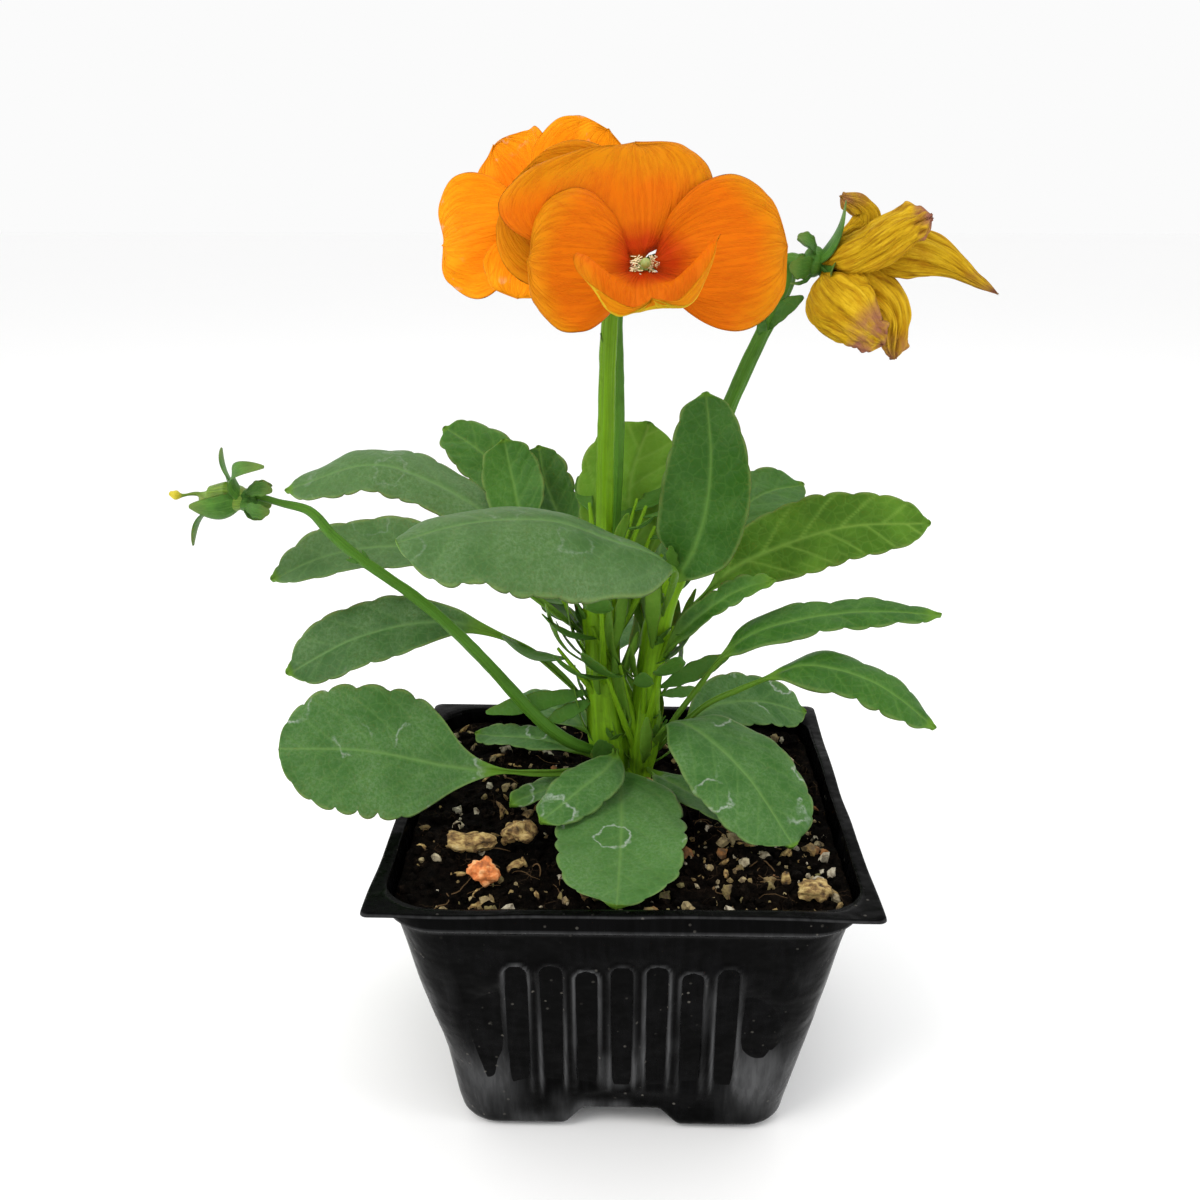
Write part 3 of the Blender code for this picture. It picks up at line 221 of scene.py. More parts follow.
def skins(rings, starts, ends):
    """Closed skins over rings [count, rows, columns, 3], each drawn in to a pole at both ends.
    Gives points, faces and the faces' places round (u) and along (v) the skin, 0 to 1."""
    count, rows, cols = rings.shape[:3]
    each = rows * cols + 2
    points = np.concatenate([rings.reshape(count, -1, 3), starts[:, None], ends[:, None]], axis=1)
    i, j = np.meshgrid(np.arange(rows - 1), np.arange(cols), indexing="ij")
    k = (j + 1) % cols
    quads = np.stack([i * cols + j, i * cols + k, (i + 1) * cols + k, (i + 1) * cols + j], -1)
    quads = quads.reshape(-1, 4)
    quad_uv = np.stack([[j, i], [j + 1, i], [j + 1, i + 1], [j, i + 1]]).astype(float)
    quad_uv = quad_uv.transpose(2, 3, 0, 1).reshape(-1, 4, 2) / (cols, rows - 1)
    j = np.arange(cols)
    k = (j + 1) % cols
    near = np.stack([np.full(cols, each - 2), k, j], -1)
    far = np.stack([np.full(cols, each - 1), (rows - 1) * cols + j, (rows - 1) * cols + k], -1)
    tris = np.concatenate([near, far])
    mid = (j + 0.5) / cols
    zero, one = np.zeros(cols), np.ones(cols)
    near_uv = np.stack([[mid, zero], [(j + 1) / cols, zero], [j / cols, zero]])
    far_uv = np.stack([[mid, one], [j / cols, one], [(j + 1) / cols, one]])
    tri_uv = np.concatenate([near_uv.transpose(2, 0, 1), far_uv.transpose(2, 0, 1)])
    offset = (np.arange(count) * each)[:, None, None]
    quads = (quads[None] + offset).reshape(-1, 4)
    tris = (tris[None] + offset).reshape(-1, 3)
    points = points.reshape(-1, 3)
    whole = np.concatenate([quads[:, [0, 1, 2]], quads[:, [0, 2, 3]], tris])
    a, b, c = (points[whole[:, n]] for n in range(3))
    quad_uv = np.tile(quad_uv, (count, 1, 1))
    tri_uv = np.tile(tri_uv, (count, 1, 1))
    if (a * np.cross(b, c)).sum() < 0:
        quads, tris = quads[:, ::-1], tris[:, ::-1]
        quad_uv, tri_uv = quad_uv[:, ::-1], tri_uv[:, ::-1]
    return points, [quads, tris], [quad_uv, tri_uv]


def on_points(marks, count):
    """A value per ring point [count, rows, columns] spread to the skins' points, poles too."""
    marks = marks.reshape(count, -1, *marks.shape[-2:]) if marks.ndim == 3 else marks[None]
    marks = marks.reshape(count, -1, marks.shape[-1])
    near = marks[:, 0].mean(axis=-1)[:, None]
    far = marks[:, -1].mean(axis=-1)[:, None]
    return np.concatenate([marks.reshape(count, -1), near, far], axis=1).ravel()


def add_piece(name, shape, look, nodes=(), marks=None, smooth=True):
    """Puts a shape in a mesh of its own, which rides on the body and stands for the nodes."""
    points, faces, uvs = shape
    mesh = bpy.data.meshes.new(name)
    loops = np.concatenate([f.ravel() for f in faces]).astype(np.int32)
    sizes = np.concatenate([np.full(len(f), f.shape[1]) for f in faces])
    starts = np.concatenate([[0], np.cumsum(sizes)[:-1]]).astype(np.int32)
    mesh.vertices.add(len(points))
    mesh.vertices.foreach_set("co", points.astype(np.float32).ravel())
    mesh.loops.add(len(loops))
    mesh.loops.foreach_set("vertex_index", loops)
    mesh.polygons.add(len(sizes))
    mesh.polygons.foreach_set("loop_start", starts)
    if uvs is not None:
        layer = mesh.uv_layers.new(name="UVMap")
        flat = np.concatenate([uv.reshape(-1, 2) for uv in uvs]).astype(np.float32)
        layer.data.foreach_set("uv", flat.ravel())
    mesh.update(calc_edges=True)
    for key, values in (marks or {}).items():
        attribute = mesh.attributes.new(key, "FLOAT", "POINT")
        attribute.data.foreach_set("value", values.astype(np.float32).ravel())
    mesh.validate()
    if smooth:
        mesh.shade_smooth()
    else:
        mesh.shade_flat()
    mesh.materials.append(look)
    piece = bpy.data.objects.new(name, mesh)
    bpy.context.scene.collection.objects.link(piece)
    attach(piece, "root")
    if nodes:
        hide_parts(*nodes)


# ------------------------------------------------------------------ materials


class Look:
    """A Principled material with short calls for the nodes that vary it."""

    def __init__(self, name, roughness=0.5, **sockets):
        """A new material with its roughness and the shader's other inputs set."""
        self.material = bpy.data.materials.new(name)
        self.material.use_nodes = True
        self.tree = self.material.node_tree
        self.shader = self.tree.nodes["Principled BSDF"]
        self.shader.inputs["Roughness"].default_value = roughness
        for key, value in sockets.items():
            self.shader.inputs[key.replace("_", " ")].default_value = value
        self.place = self.tree.nodes.new("ShaderNodeTexCoord").outputs["Object"]

    def node(self, kind, **inputs):
        """A new node with its inputs set by name, where _ stands for a space."""
        made = self.tree.nodes.new(kind)
        for key, value in inputs.items():
            self.join(made.inputs[key.replace("_", " ")], value)
        return made

    def join(self, socket, value):
        """Links a socket to another one, or sets it to a constant."""
        if isinstance(value, bpy.types.NodeSocket):
            self.tree.links.new(value, socket)
        else:
            socket.default_value = value

    def mark(self, name):
        """A value that the mesh holds at each of its points."""
        made = self.tree.nodes.new("ShaderNodeAttribute")
        made.attribute_name = name
        return made.outputs["Fac"]

    def stretch(self, x, y, z, vector=None):
        """A place multiplied along each axis."""
        made = self.node("ShaderNodeMapping", Vector=vector or self.place, Scale=(x, y, z))
        return made.outputs["Vector"]

    def uv(self, across, along):
        """The place round and along a skin, multiplied each way."""
        made = self.tree.nodes.new("ShaderNodeUVMap")
        return self.stretch(across, along, 1.0, made.outputs["UV"])

    def noise(self, size, detail=4.0, vector=None, roughness=0.55):
        """Cloudy values from 0 to 1 whose largest clouds are this size."""
        place = vector or self.place
        made = self.node(
            "ShaderNodeTexNoise",
            Vector=place, Scale=1.0 / size, Detail=detail, Roughness=roughness,
        )
        return made.outputs["Fac"]

    def cells(self, size, feature="F1", vector=None):
        """The distance to the nearest cell's middle, or to its edge, in cells of this size."""
        made = self.tree.nodes.new("ShaderNodeTexVoronoi")
        made.feature = feature
        self.join(made.inputs["Vector"], vector or self.place)
        made.inputs["Scale"].default_value = 1.0 / size
        return made.outputs["Distance"]

    def math(self, operation, a, b=0.0, clamp=False):
        """One sum of two values."""
        made = self.tree.nodes.new("ShaderNodeMath")
        made.operation = operation
        made.use_clamp = clamp
        self.join(made.inputs[0], a)
        self.join(made.inputs[1], b)
        return made.outputs[0]

    def times(self, a, b):
        """The product of two values."""
        return self.math("MULTIPLY", a, b)

    def span(self, value, low, high, to_low=0.0, to_high=1.0):
        """A value spread from one range to another, and held at its ends."""
        made = self.node(
            "ShaderNodeMapRange",
            Value=value, From_Min=low, From_Max=high, To_Min=to_low, To_Max=to_high,
        )
        return made.outputs["Result"]

    def ramp(self, value, *stops):
        """Colours blended between stops, each a value and its colour."""
        made = self.node("ShaderNodeValToRGB", Fac=value)
        elements = made.color_ramp.elements
        while len(elements) < len(stops):
            elements.new(0.5)
        for element, (at, colour) in zip(elements, stops):
            element.position = at
            element.color = (*colour, 1.0)
        return made.outputs["Color"]

    def mix(self, share, a, b):
        """A share of colour b over colour a."""
        made = self.tree.nodes.new("ShaderNodeMix")
        made.data_type = "RGBA"
        self.join(made.inputs["Factor"], share)
        for socket, value in ((made.inputs[6], a), (made.inputs[7], b)):
            self.join(socket, value if isinstance(value, bpy.types.NodeSocket) else (*value, 1.0))
        return made.outputs[2]

    def bumps(self, *layers):
        """Each layer is a height from 0 to 1 and how many metres high it stands."""
        normal = None
        for height, rise in layers:
            made = self.node("ShaderNodeBump", Height=height, Strength=1.0, Distance=rise)
            if normal is not None:
                self.tree.links.new(normal, made.inputs["Normal"])
            normal = made.outputs["Normal"]
        self.tree.links.new(normal, self.shader.inputs["Normal"])

    def finish(self, colour, roughness=None):
        """Joins the colour, and a roughness if there is one, and gives the material."""
        self.tree.links.new(colour, self.shader.inputs["Base Color"])
        if roughness is not None:
            self.tree.links.new(roughness, self.shader.inputs["Roughness"])
        return self.material


SHALLOW = {"Subsurface_Scale": MM}  # light goes about a millimetre into living tissue


def black_plastic():
    """Thin formed sheet: near black, satin, with settled dust, water marks and fine scratches, and
    pale grey marks on its edges and lower wall that are partly scuffs and partly painted
    highlights and sheen.
    """
    look = Look("black_plastic", 0.3, Specular_IOR_Level=0.03)
    cloud = look.noise(0.016, 5.0)
    fine = look.noise(0.0014, 4.0)
    speck = look.span(look.cells(0.0021), 0.1, 0.16, 1.0, 0.0)
    speck = look.times(speck, look.span(look.noise(0.011, 3.0), 0.52, 0.66))
    streak = look.noise(0.004, 3.0, look.stretch(3.0, 3.0, 0.25))
    haze = look.span(look.times(cloud, streak), 0.2, 0.42)
    colour = look.mix(haze, (0.0003, 0.0003, 0.0003), (0.0022, 0.0022, 0.0025))
    # Pale grey marks on the edges and lower wall: partly scuffs, partly painted highlights and
    # sheen.
    scuff_and_sheen = look.times(look.mark("worn"), look.span(streak, 0.2, 0.6, 0.35, 1.0))
    colour = look.mix(scuff_and_sheen, colour, (0.085, 0.086, 0.088))
    colour = look.mix(look.times(speck, 0.3), colour, (0.3, 0.28, 0.24))
    grime = look.math("ADD", haze, look.times(fine, 0.5))
    rough = look.span(grime, 0.0, 1.5, 0.17, 0.42)
    look.bumps((look.noise(0.006, 2.0), 0.0005), (fine, 0.00003), (speck, 0.00012))
    return look.finish(colour, rough)


def potting_mix():
    """Damp peat: nearly black and brown crumbs, with threads of paler fibre."""
    look = Look("potting_mix", 0.92, Specular_IOR_Level=0.03)
    crumb = look.noise(0.0016, 6.0, roughness=0.7)
    patch = look.noise(0.012, 3.0)
    colour = look.ramp(
        look.math("ADD", look.times(crumb, 0.75), look.times(patch, 0.25)),
        (0.36, (0.001, 0.0008, 0.0006)),
        (0.52, (0.005, 0.0035, 0.0025)),
        (0.63, (0.014, 0.009, 0.006)),
        (0.78, (0.05, 0.032, 0.018)),
    )
    thread = look.span(look.cells(0.0022, "DISTANCE_TO_EDGE"), 0.0, 0.035, 1.0, 0.0)
    thread = look.times(thread, look.span(look.noise(0.006, 2.0), 0.55, 0.65))
    colour = look.mix(look.times(thread, 0.6), colour, (0.11, 0.07, 0.04))
    look.bumps((crumb, 0.0009), (look.noise(0.0004, 3.0), 0.0002))
    return look.finish(colour, look.span(patch, 0.3, 0.7, 0.7, 0.97))


def mineral_grain():
    """Perlite and pumice: chalky white to tan, pitted, stained brown in the hollows."""
    look = Look("mineral_grain", 0.85)
    kind = look.mark("kind")
    pits = look.noise(0.0005, 4.0)
    clean = look.ramp(
        kind,
        (0.0, (0.6, 0.55, 0.42)),
        (0.3, (0.42, 0.34, 0.17)),
        (0.6, (0.3, 0.2, 0.07)),
        (0.8, (0.19, 0.18, 0.06)),
        (1.0, (0.3, 0.12, 0.03)),
    )
    stain = look.span(look.noise(0.0011, 4.0), 0.42, 0.68)
    colour = look.mix(stain, clean, (0.09, 0.06, 0.03))
    look.bumps((pits, 0.0003))
    return look.finish(colour)


def bark_look():
    """Composted bark: tan to red-brown, with long grain and dark cracks."""
    look = Look("bark", 0.85)
    grain = look.noise(0.0016, 6.0, look.stretch(0.8, 1.3, 1.2), roughness=0.65)
    colour = look.ramp(
        grain,
        (0.34, (0.03, 0.017, 0.006)),
        (0.47, (0.24, 0.14, 0.045)),
        (0.58, (0.52, 0.37, 0.13)),
        (0.75, (0.7, 0.56, 0.28)),
    )
    look.bumps((grain, 0.0007), (look.noise(0.0003, 3.0), 0.0001))
    return look.finish(colour)


def fibre_look():
    """Brown root and peat threads."""
    look = Look("fibre", 0.85, Specular_IOR_Level=0.2)
    colour = look.mix(look.noise(0.004, 3.0), (0.04, 0.022, 0.01), (0.2, 0.12, 0.05))
    return look.finish(colour)


def dried_petal():
    """A fallen petal gone brown, orange and pale in blotches."""
    look = Look("dried_petal", 0.75)
    blotch = look.noise(0.002, 5.0)
    colour = look.ramp(
        blotch,
        (0.3, (0.22, 0.06, 0.02)),
        (0.5, (0.75, 0.22, 0.05)),
        (0.65, (0.9, 0.45, 0.18)),
        (0.8, (0.85, 0.6, 0.38)),
    )
    look.bumps((look.noise(0.0008, 4.0), 0.0004))
    return look.finish(colour)


def stem_look(name, young, old, roughness=0.42):
    """Juicy ribbed stem: streaks along it, paler on the ribs, duller and browner with age."""
    look = Look(name, roughness, Specular_IOR_Level=0.13, Subsurface_Weight=0.06, **SHALLOW)
    streak = look.noise(0.12, 4.0, look.uv(3.2, 0.5))
    mottle = look.noise(0.003, 4.0)
    colour = look.mix(look.mark("age"), young, old)
    colour = look.mix(look.span(streak, 0.35, 0.7), colour, tuple(c * 1.45 for c in young))
    colour = look.mix(look.span(mottle, 0.55, 0.8, 0.0, 0.45), colour, tuple(c * 0.5 for c in old))
    look.bumps((streak, 0.0002), (look.noise(0.0007, 3.0), 0.00006))
    return look.finish(colour, look.span(mottle, 0.3, 0.7, roughness - 0.08, roughness + 0.14))


def leaf_look(name, dark, light, vein, bloom, stains):
    """Blade with paler sunken veins, a network of fine ones, a grey bloom and water stains."""
    look = Look(name, 0.5, Specular_IOR_Level=0.12, Subsurface_Weight=0.05, **SHALLOW)
    patch = look.noise(0.009, 4.0)
    tone = look.math("ADD", look.span(patch, 0.3, 0.72), look.mark("tone"), clamp=True)
    colour = look.mix(tone, dark, light)
    net = look.cells(0.0021, "DISTANCE_TO_EDGE")
    net_line = look.span(net, 0.0, 0.09, 1.0, 0.0)
    colour = look.mix(look.times(net_line, 0.15), colour, vein)
    mealy = look.noise(0.0006, 5.0, roughness=0.7)
    dusty = look.times(look.span(mealy, 0.42, 0.62), look.span(patch, 0.32, 0.7))
    colour = look.mix(look.times(dusty, bloom), colour, (0.2, 0.3, 0.16))
    if stains:
        bent = look.node("ShaderNodeVectorMath", Vector=look.place)
        bent.operation = "ADD"
        sway = look.node("ShaderNodeTexNoise", Vector=look.place, Scale=330.0)
        shift = look.stretch(0.0042, 0.0042, 0.0042, sway.outputs["Color"])
        look.join(bent.inputs[1], shift)
        ring = look.cells(0.0115, vector=bent.outputs["Vector"])
        ring = look.math("ABSOLUTE", look.math("SUBTRACT", ring, 0.3))
        ring = look.span(ring, 0.0, 0.035, 1.0, 0.0)
        ring = look.times(ring, look.span(look.noise(0.016, 2.0), 0.44, 0.52))
        ring = look.times(ring, look.span(mealy, 0.3, 0.55))
        colour = look.mix(look.times(ring, stains), colour, (0.42, 0.47, 0.42))
    colour = look.mix(look.times(look.mark("vein"), 0.72), colour, vein)
    pale_under = look.mix(look.span(patch, 0.3, 0.7), (0.1, 0.215, 0.04), (0.15, 0.28, 0.06))
    pale_under = look.mix(look.mark("vein"), pale_under, (0.22, 0.34, 0.1))
    colour = look.mix(look.mark("under"), colour, pale_under)
    colour = look.mix(look.times(look.mark("rim"), 0.4), colour, (0.2, 0.3, 0.08))
    colour = look.mix(look.mark("stalk"), colour, (0.1, 0.215, 0.02))
    look.bumps((net, 0.00016), (mealy, 0.00005))
    rough = look.span(look.math("ADD", patch, dusty), 0.3, 1.5, 0.38, 0.66)
    return look.finish(colour, rough)


def petal_look(name, heart, body, rim, back, streak, worn):
    """Velvety petal: deep near the throat, paler to the rim, with fine veins fanning outwards."""
    look = Look(name, 0.6, Specular_IOR_Level=0.07, Subsurface_Weight=0.08, **SHALLOW)
    reach = look.mark("reach")
    cloud = look.noise(0.007, 4.0)
    wander = look.math("ADD", reach, look.span(cloud, 0.0, 1.0, -0.16, 0.16))
    colour = look.ramp(wander, (0.12, heart), (0.34, body), (0.7, body), (0.96, rim))
    colour = look.mix(look.times(look.mark("rim"), 0.75), colour, rim)
    fine = look.noise(0.045, 4.0, look.uv(3.4, 0.16), roughness=0.62)
    fine = look.span(fine, 0.46, 0.66)
    colour = look.mix(look.times(fine, 0.24), colour, streak)
    colour = look.mix(look.times(look.mark("vein"), 0.2), colour, streak)
    colour = look.mix(look.times(look.mark("under"), 0.92), colour, back)
    wear = look.times(look.mark("rim"), look.span(look.noise(0.003, 4.0), 0.6, 0.68))
    colour = look.mix(look.times(wear, worn), colour, (0.8, 0.5, 0.36))
    look.bumps((fine, 0.00012), (look.noise(0.0005, 3.0), 0.00003))
    return look.finish(colour)


def withered_look():
    """Dry rolled petal: ochre with brown lines along it, and brown and pink tips."""
    look = Look("petal_withered", 0.7, Specular_IOR_Level=0.1)
    line = look.noise(0.07, 5.0, look.uv(2.6, 0.25), roughness=0.65)
    patch = look.noise(0.004, 4.0)
    colour = look.ramp(
        line,
        (0.32, (0.26, 0.11, 0.002)),
        (0.44, (0.46, 0.25, 0.004)),
        (0.56, (0.62, 0.375, 0.009)),
        (0.74, (0.78, 0.52, 0.03)),
    )
    colour = look.mix(look.span(patch, 0.5, 0.75, 0.0, 0.6), colour, (0.42, 0.17, 0.003))
    tip = look.times(look.mark("tip"), look.span(patch, 0.36, 0.6))
    colour = look.mix(tip, colour, (0.34, 0.13, 0.08))
    look.bumps((line, 0.0008), (look.noise(0.0006, 4.0), 0.00015))
    return look.finish(colour)


def sepal_look():
    """Sepals: mottled green with paler lines along them and paler tips."""
    look = Look("sepal_green", 0.45, Specular_IOR_Level=0.14, Subsurface_Weight=0.06, **SHALLOW)
    patch = look.noise(0.003, 4.0)
    colour = look.mix(look.span(patch, 0.3, 0.7), (0.035, 0.115, 0.014), (0.08, 0.21, 0.025))
    lines = look.noise(0.06, 3.0, look.uv(2.4, 0.3))
    colour = look.mix(look.span(lines, 0.5, 0.7, 0.0, 0.4), colour, (0.15, 0.3, 0.05))
    colour = look.mix(look.times(look.mark("tip"), 0.4), colour, (0.22, 0.28, 0.06))
    look.bumps((lines, 0.0002), (look.noise(0.0006, 3.0), 0.00008))
    return look.finish(colour)


def capsule_look():
    """Yellow-green skin with faint lines along it, and a bright yellow stigma."""
    look = Look("capsule_green", 0.4, Specular_IOR_Level=0.3)
    lines = look.noise(0.05, 4.0, look.uv(2.4, 0.3))
    patch = look.noise(0.002, 3.0)
    colour = look.mix(look.span(lines, 0.35, 0.7), (0.08, 0.17, 0.01), (0.2, 0.33, 0.03))
    colour = look.mix(look.span(patch, 0.5, 0.8, 0.0, 0.5), colour, (0.16, 0.14, 0.02))
    colour = look.mix(look.mark("ripe"), colour, (0.6, 0.5, 0.02))
    look.bumps((lines, 0.0002), (patch, 0.0001))
    return look.finish(colour)


def pistil_look():
    """Green to cream, in soft patches."""
    look = Look("pistil_cream", 0.4, Subsurface_Weight=0.2, **SHALLOW)
    patch = look.noise(0.0012, 3.0)
    colour = look.mix(look.span(patch, 0.3, 0.7), (0.12, 0.2, 0.02), (0.4, 0.45, 0.13))
    look.bumps((patch, 0.0001))
    return look.finish(colour, look.span(patch, 0.3, 0.7, 0.3, 0.5))


def throat_hair():
    """Cream beard hairs."""
    look = Look("throat_hair", 0.6, Subsurface_Weight=0.2, Subsurface_Scale=0.0005)
    patch = look.noise(0.001, 2.0)
    colour = look.mix(patch, (0.85, 0.7, 0.35), (0.9, 0.85, 0.62))
    return look.finish(colour)


def floor_look():
    """A plain, nearly white floor."""
    look = Look("floor", 0.8)
    colour = look.mix(look.noise(0.3, 2.0), (0.985, 0.985, 0.985), (0.99, 0.99, 0.988))
    return look.finish(colour)


PLASTIC = black_plastic()
PEAT = potting_mix()
GRAIN = mineral_grain()
BARK = bark_look()
FIBRE = fibre_look()
SCRAP = dried_petal()
STEM = stem_look("stem_green", (0.15, 0.31, 0.008), (0.088, 0.2, 0.009))
FRONT_STALK = stem_look("stalk_bright", (0.1, 0.215, 0.004), (0.1, 0.215, 0.004))
STALK = stem_look("stalk_green", (0.055, 0.15, 0.012), (0.055, 0.15, 0.012))
LEAF = leaf_look(
    "leaf_green",
    dark=(0.026, 0.096, 0.008),
    light=(0.055, 0.16, 0.018),
    vein=(0.12, 0.25, 0.045),
    bloom=0.12,
    stains=0.0,
)
PALE_LEAF = leaf_look(
    "leaf_pale",
    dark=(0.05, 0.135, 0.006),
    light=(0.115, 0.26, 0.018),
    vein=(0.19, 0.34, 0.05),
    bloom=0.04,
    stains=0.0,
)
DUSTY_LEAF = leaf_look(
    "leaf_dusty",
    dark=(0.033, 0.108, 0.018),
    light=(0.066, 0.165, 0.037),
    vein=(0.14, 0.27, 0.07),
    bloom=0.36,
    stains=0.75,
)
ARCHED_LEAF = leaf_look(
    "leaf_arched",
    dark=(0.036, 0.1, 0.022),
    light=(0.062, 0.138, 0.036),
    vein=(0.13, 0.25, 0.075),
    bloom=0.34,
    stains=0.16,
)
SEPAL = sepal_look()
CAPSULE = capsule_look()
ORANGE = petal_look(
    "petal_orange",
    heart=(0.47, 0.036, 0.0),
    body=(0.65, 0.138, 0.0),
    rim=(0.61, 0.2, 0.001),
    back=(0.62, 0.4, 0.014),
    streak=(0.47, 0.06, 0.0),
    worn=0.0,
)
GOLD = petal_look(
    "petal_gold",
    heart=(0.68, 0.09, 0.0),
    body=(0.88, 0.235, 0.0),
    rim=(0.88, 0.29, 0.002),
    back=(0.8, 0.3, 0.004),
    streak=(0.68, 0.12, 0.0),
    worn=0.75,
)
WITHERED = withered_look()
PISTIL = pistil_look()
HAIR = throat_hair()


# ------------------------------------------------------------------ pot

RIM_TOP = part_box("pot")[1][2]
SHEET = 0.7 * MM
FOOT = 31.5 * MM  # half the width at the foot
FLUTED = 23.0 * MM  # the flutes reach this far from the middle of each side
WALL_TOP = 50 * MM  # the tapered wall ends here and the upright collar starts

# The pot's profile as runs of rows: the part it belongs to, how many rows, and the half width,
# corner radius and height, in mm, that it goes from and to.
BASE, HEEL, WALL, COLLAR, FLANGE, NECK, INSIDE = range(7)
POT_PROFILE = (
    (BASE, 34, (1.0, 0.3, 0.0), (29.3, 6.2, 0.0)),
    (HEEL, 6, (29.3, 6.2, 0.0), (31.3, 7.8, 1.6)),
    (WALL, 64, (31.4, 8.0, 2.0), (40.9, 10.0, 50.0)),
    (COLLAR, 3, (41.0, 10.0, 50.3), (41.9, 10.0, 50.9)),
    (COLLAR, 7, (42.0, 10.0, 51.2), (42.0, 9.6, 55.0)),
    (FLANGE, 5, (42.3, 8.5, 55.25), (44.4, 1.7, 55.3)),
    (FLANGE, 3, (44.5, 1.5, 55.4), (44.4, 1.6, 55.95)),
    (FLANGE, 5, (44.3, 1.8, 56.0), (42.0, 8.6, 56.0)),
    (NECK, 6, (41.8, 9.2, 55.9), (41.2, 9.4, 51.2)),
    (NECK, 3, (41.2, 9.4, 51.2), (40.1, 9.4, 49.8)),
    (INSIDE, 16, (40.1, 9.3, 49.0), (30.7, 7.2, 3.0)),
    (INSIDE, 14, (29.0, 6.0, 0.8), (1.0, 0.3, 0.8)),
)


def side_columns():
    """Places along one side of the pot, closest together over the flutes, then the corner's
    angles. The second array is 0 on the straight and runs from 0 to 1 round the corner."""
    middle = np.linspace(-23.0, 23.0, 116)
    outer = np.linspace(24.5, 32.0, 6)
    straight = np.concatenate([-outer[::-1], middle, outer]) * MM
    turn = np.linspace(0.0, 1.0, 12)[1:-1]
    along = np.concatenate([straight, np.full(len(turn), straight[-1])])
    return along, np.concatenate([np.zeros(len(straight)), turn])


def pot_rings(halves, corners, heights):
    """Rings of a rounded square seen from above: straight sides at the half width, joined by
    quarter circles. Gives points, and each point's place along its side."""
    along, turn = side_columns()
    end = along.max()
    halves, corners, heights = (np.asarray(v, float)[:, None] for v in (halves, corners, heights))
    room = halves - corners
    shrink = np.minimum(1.0, room / (FLUTED * 1.15))
    beyond = np.clip((np.abs(along) - FLUTED) / (end - FLUTED), 0.0, 1.0)
    inner = np.minimum(np.abs(along), FLUTED) * shrink
    x = np.sign(along) * (inner + (room - FLUTED * shrink) * beyond)
    angle = turn * math.pi / 2
    x = x + corners * np.sin(angle)
    y = -halves + corners * (1.0 - np.cos(angle))
    sides = []
    for quarter in range(4):
        c, s = math.cos(quarter * math.pi / 2), math.sin(quarter * math.pi / 2)
        sides.append(np.stack([c * x - s * y, s * x + c * y], -1))
    flat = np.concatenate(sides, axis=1)
    z = np.broadcast_to(heights, flat.shape[:2])
    rings = np.concatenate([flat, z[..., None]], axis=-1)
    return rings, np.tile(x, (1, 4))


def foot_arch(rings, place):
    """How far the four arched notches lift the foot: a plateau in the middle of each side
    that falls away in an S curve, and that fades 13 mm in from the side. Each drain hole is a
    steep round pit in the plateau."""
    inward = FOOT - np.abs(rings[..., :2]).max(axis=-1)
    rise = 3.8 * MM * (1.0 - ease(np.abs(place), 6.5 * MM, 11.5 * MM))
    rise = rise * (1.0 - ease(inward, 10.5 * MM, 13.5 * MM))
    near_axis = np.abs(rings[..., :2]).min(axis=-1)
    hole = np.hypot(near_axis, inward - 7.8 * MM)
    pit = 3.5 * MM * (1.0 - ease(hole, 2.0 * MM, 2.7 * MM)) * (rings[..., 2] < 0.5 * MM)
    return rise, pit


def flute_relief(place, z):
    """Seven upright channels a side. The distance to a channel's outline is the distance to
    its middle line less its half width, with a half circle at its head. It is sunk inside the
    outline, has a thin raised bead along it, and fades out near the foot. Gives the relief
    and how strongly the bead is marked pale, which stands for scuffing and a painted highlight."""
    pitch, half, head, foot = 6.3 * MM, 2.1 * MM, 42.0 * MM, 8.0 * MM
    k = np.clip(np.round(place / pitch), -3, 3)
    across = np.abs(place - k * pitch)
    head = head + 0.9 * MM * np.sin(2.1 * k + 0.4)
    above = np.maximum(z - (head - half), 0.0)
    edge = np.hypot(across, above) - half
    sunk = 0.95 * MM * (1.0 - ease(edge, -0.7 * MM, 0.1 * MM))
    bead = 0.5 * MM * bell(edge - 0.3 * MM, 0.42 * MM)
    there = ease(z, foot, foot + 8.0 * MM)
    uneven = 0.55 + 0.45 * np.sin(3.7 * k + 1.0 + z / (9 * MM))
    return (bead - sunk) * there, bell(edge - 0.15 * MM, 0.3 * MM) * there * uneven


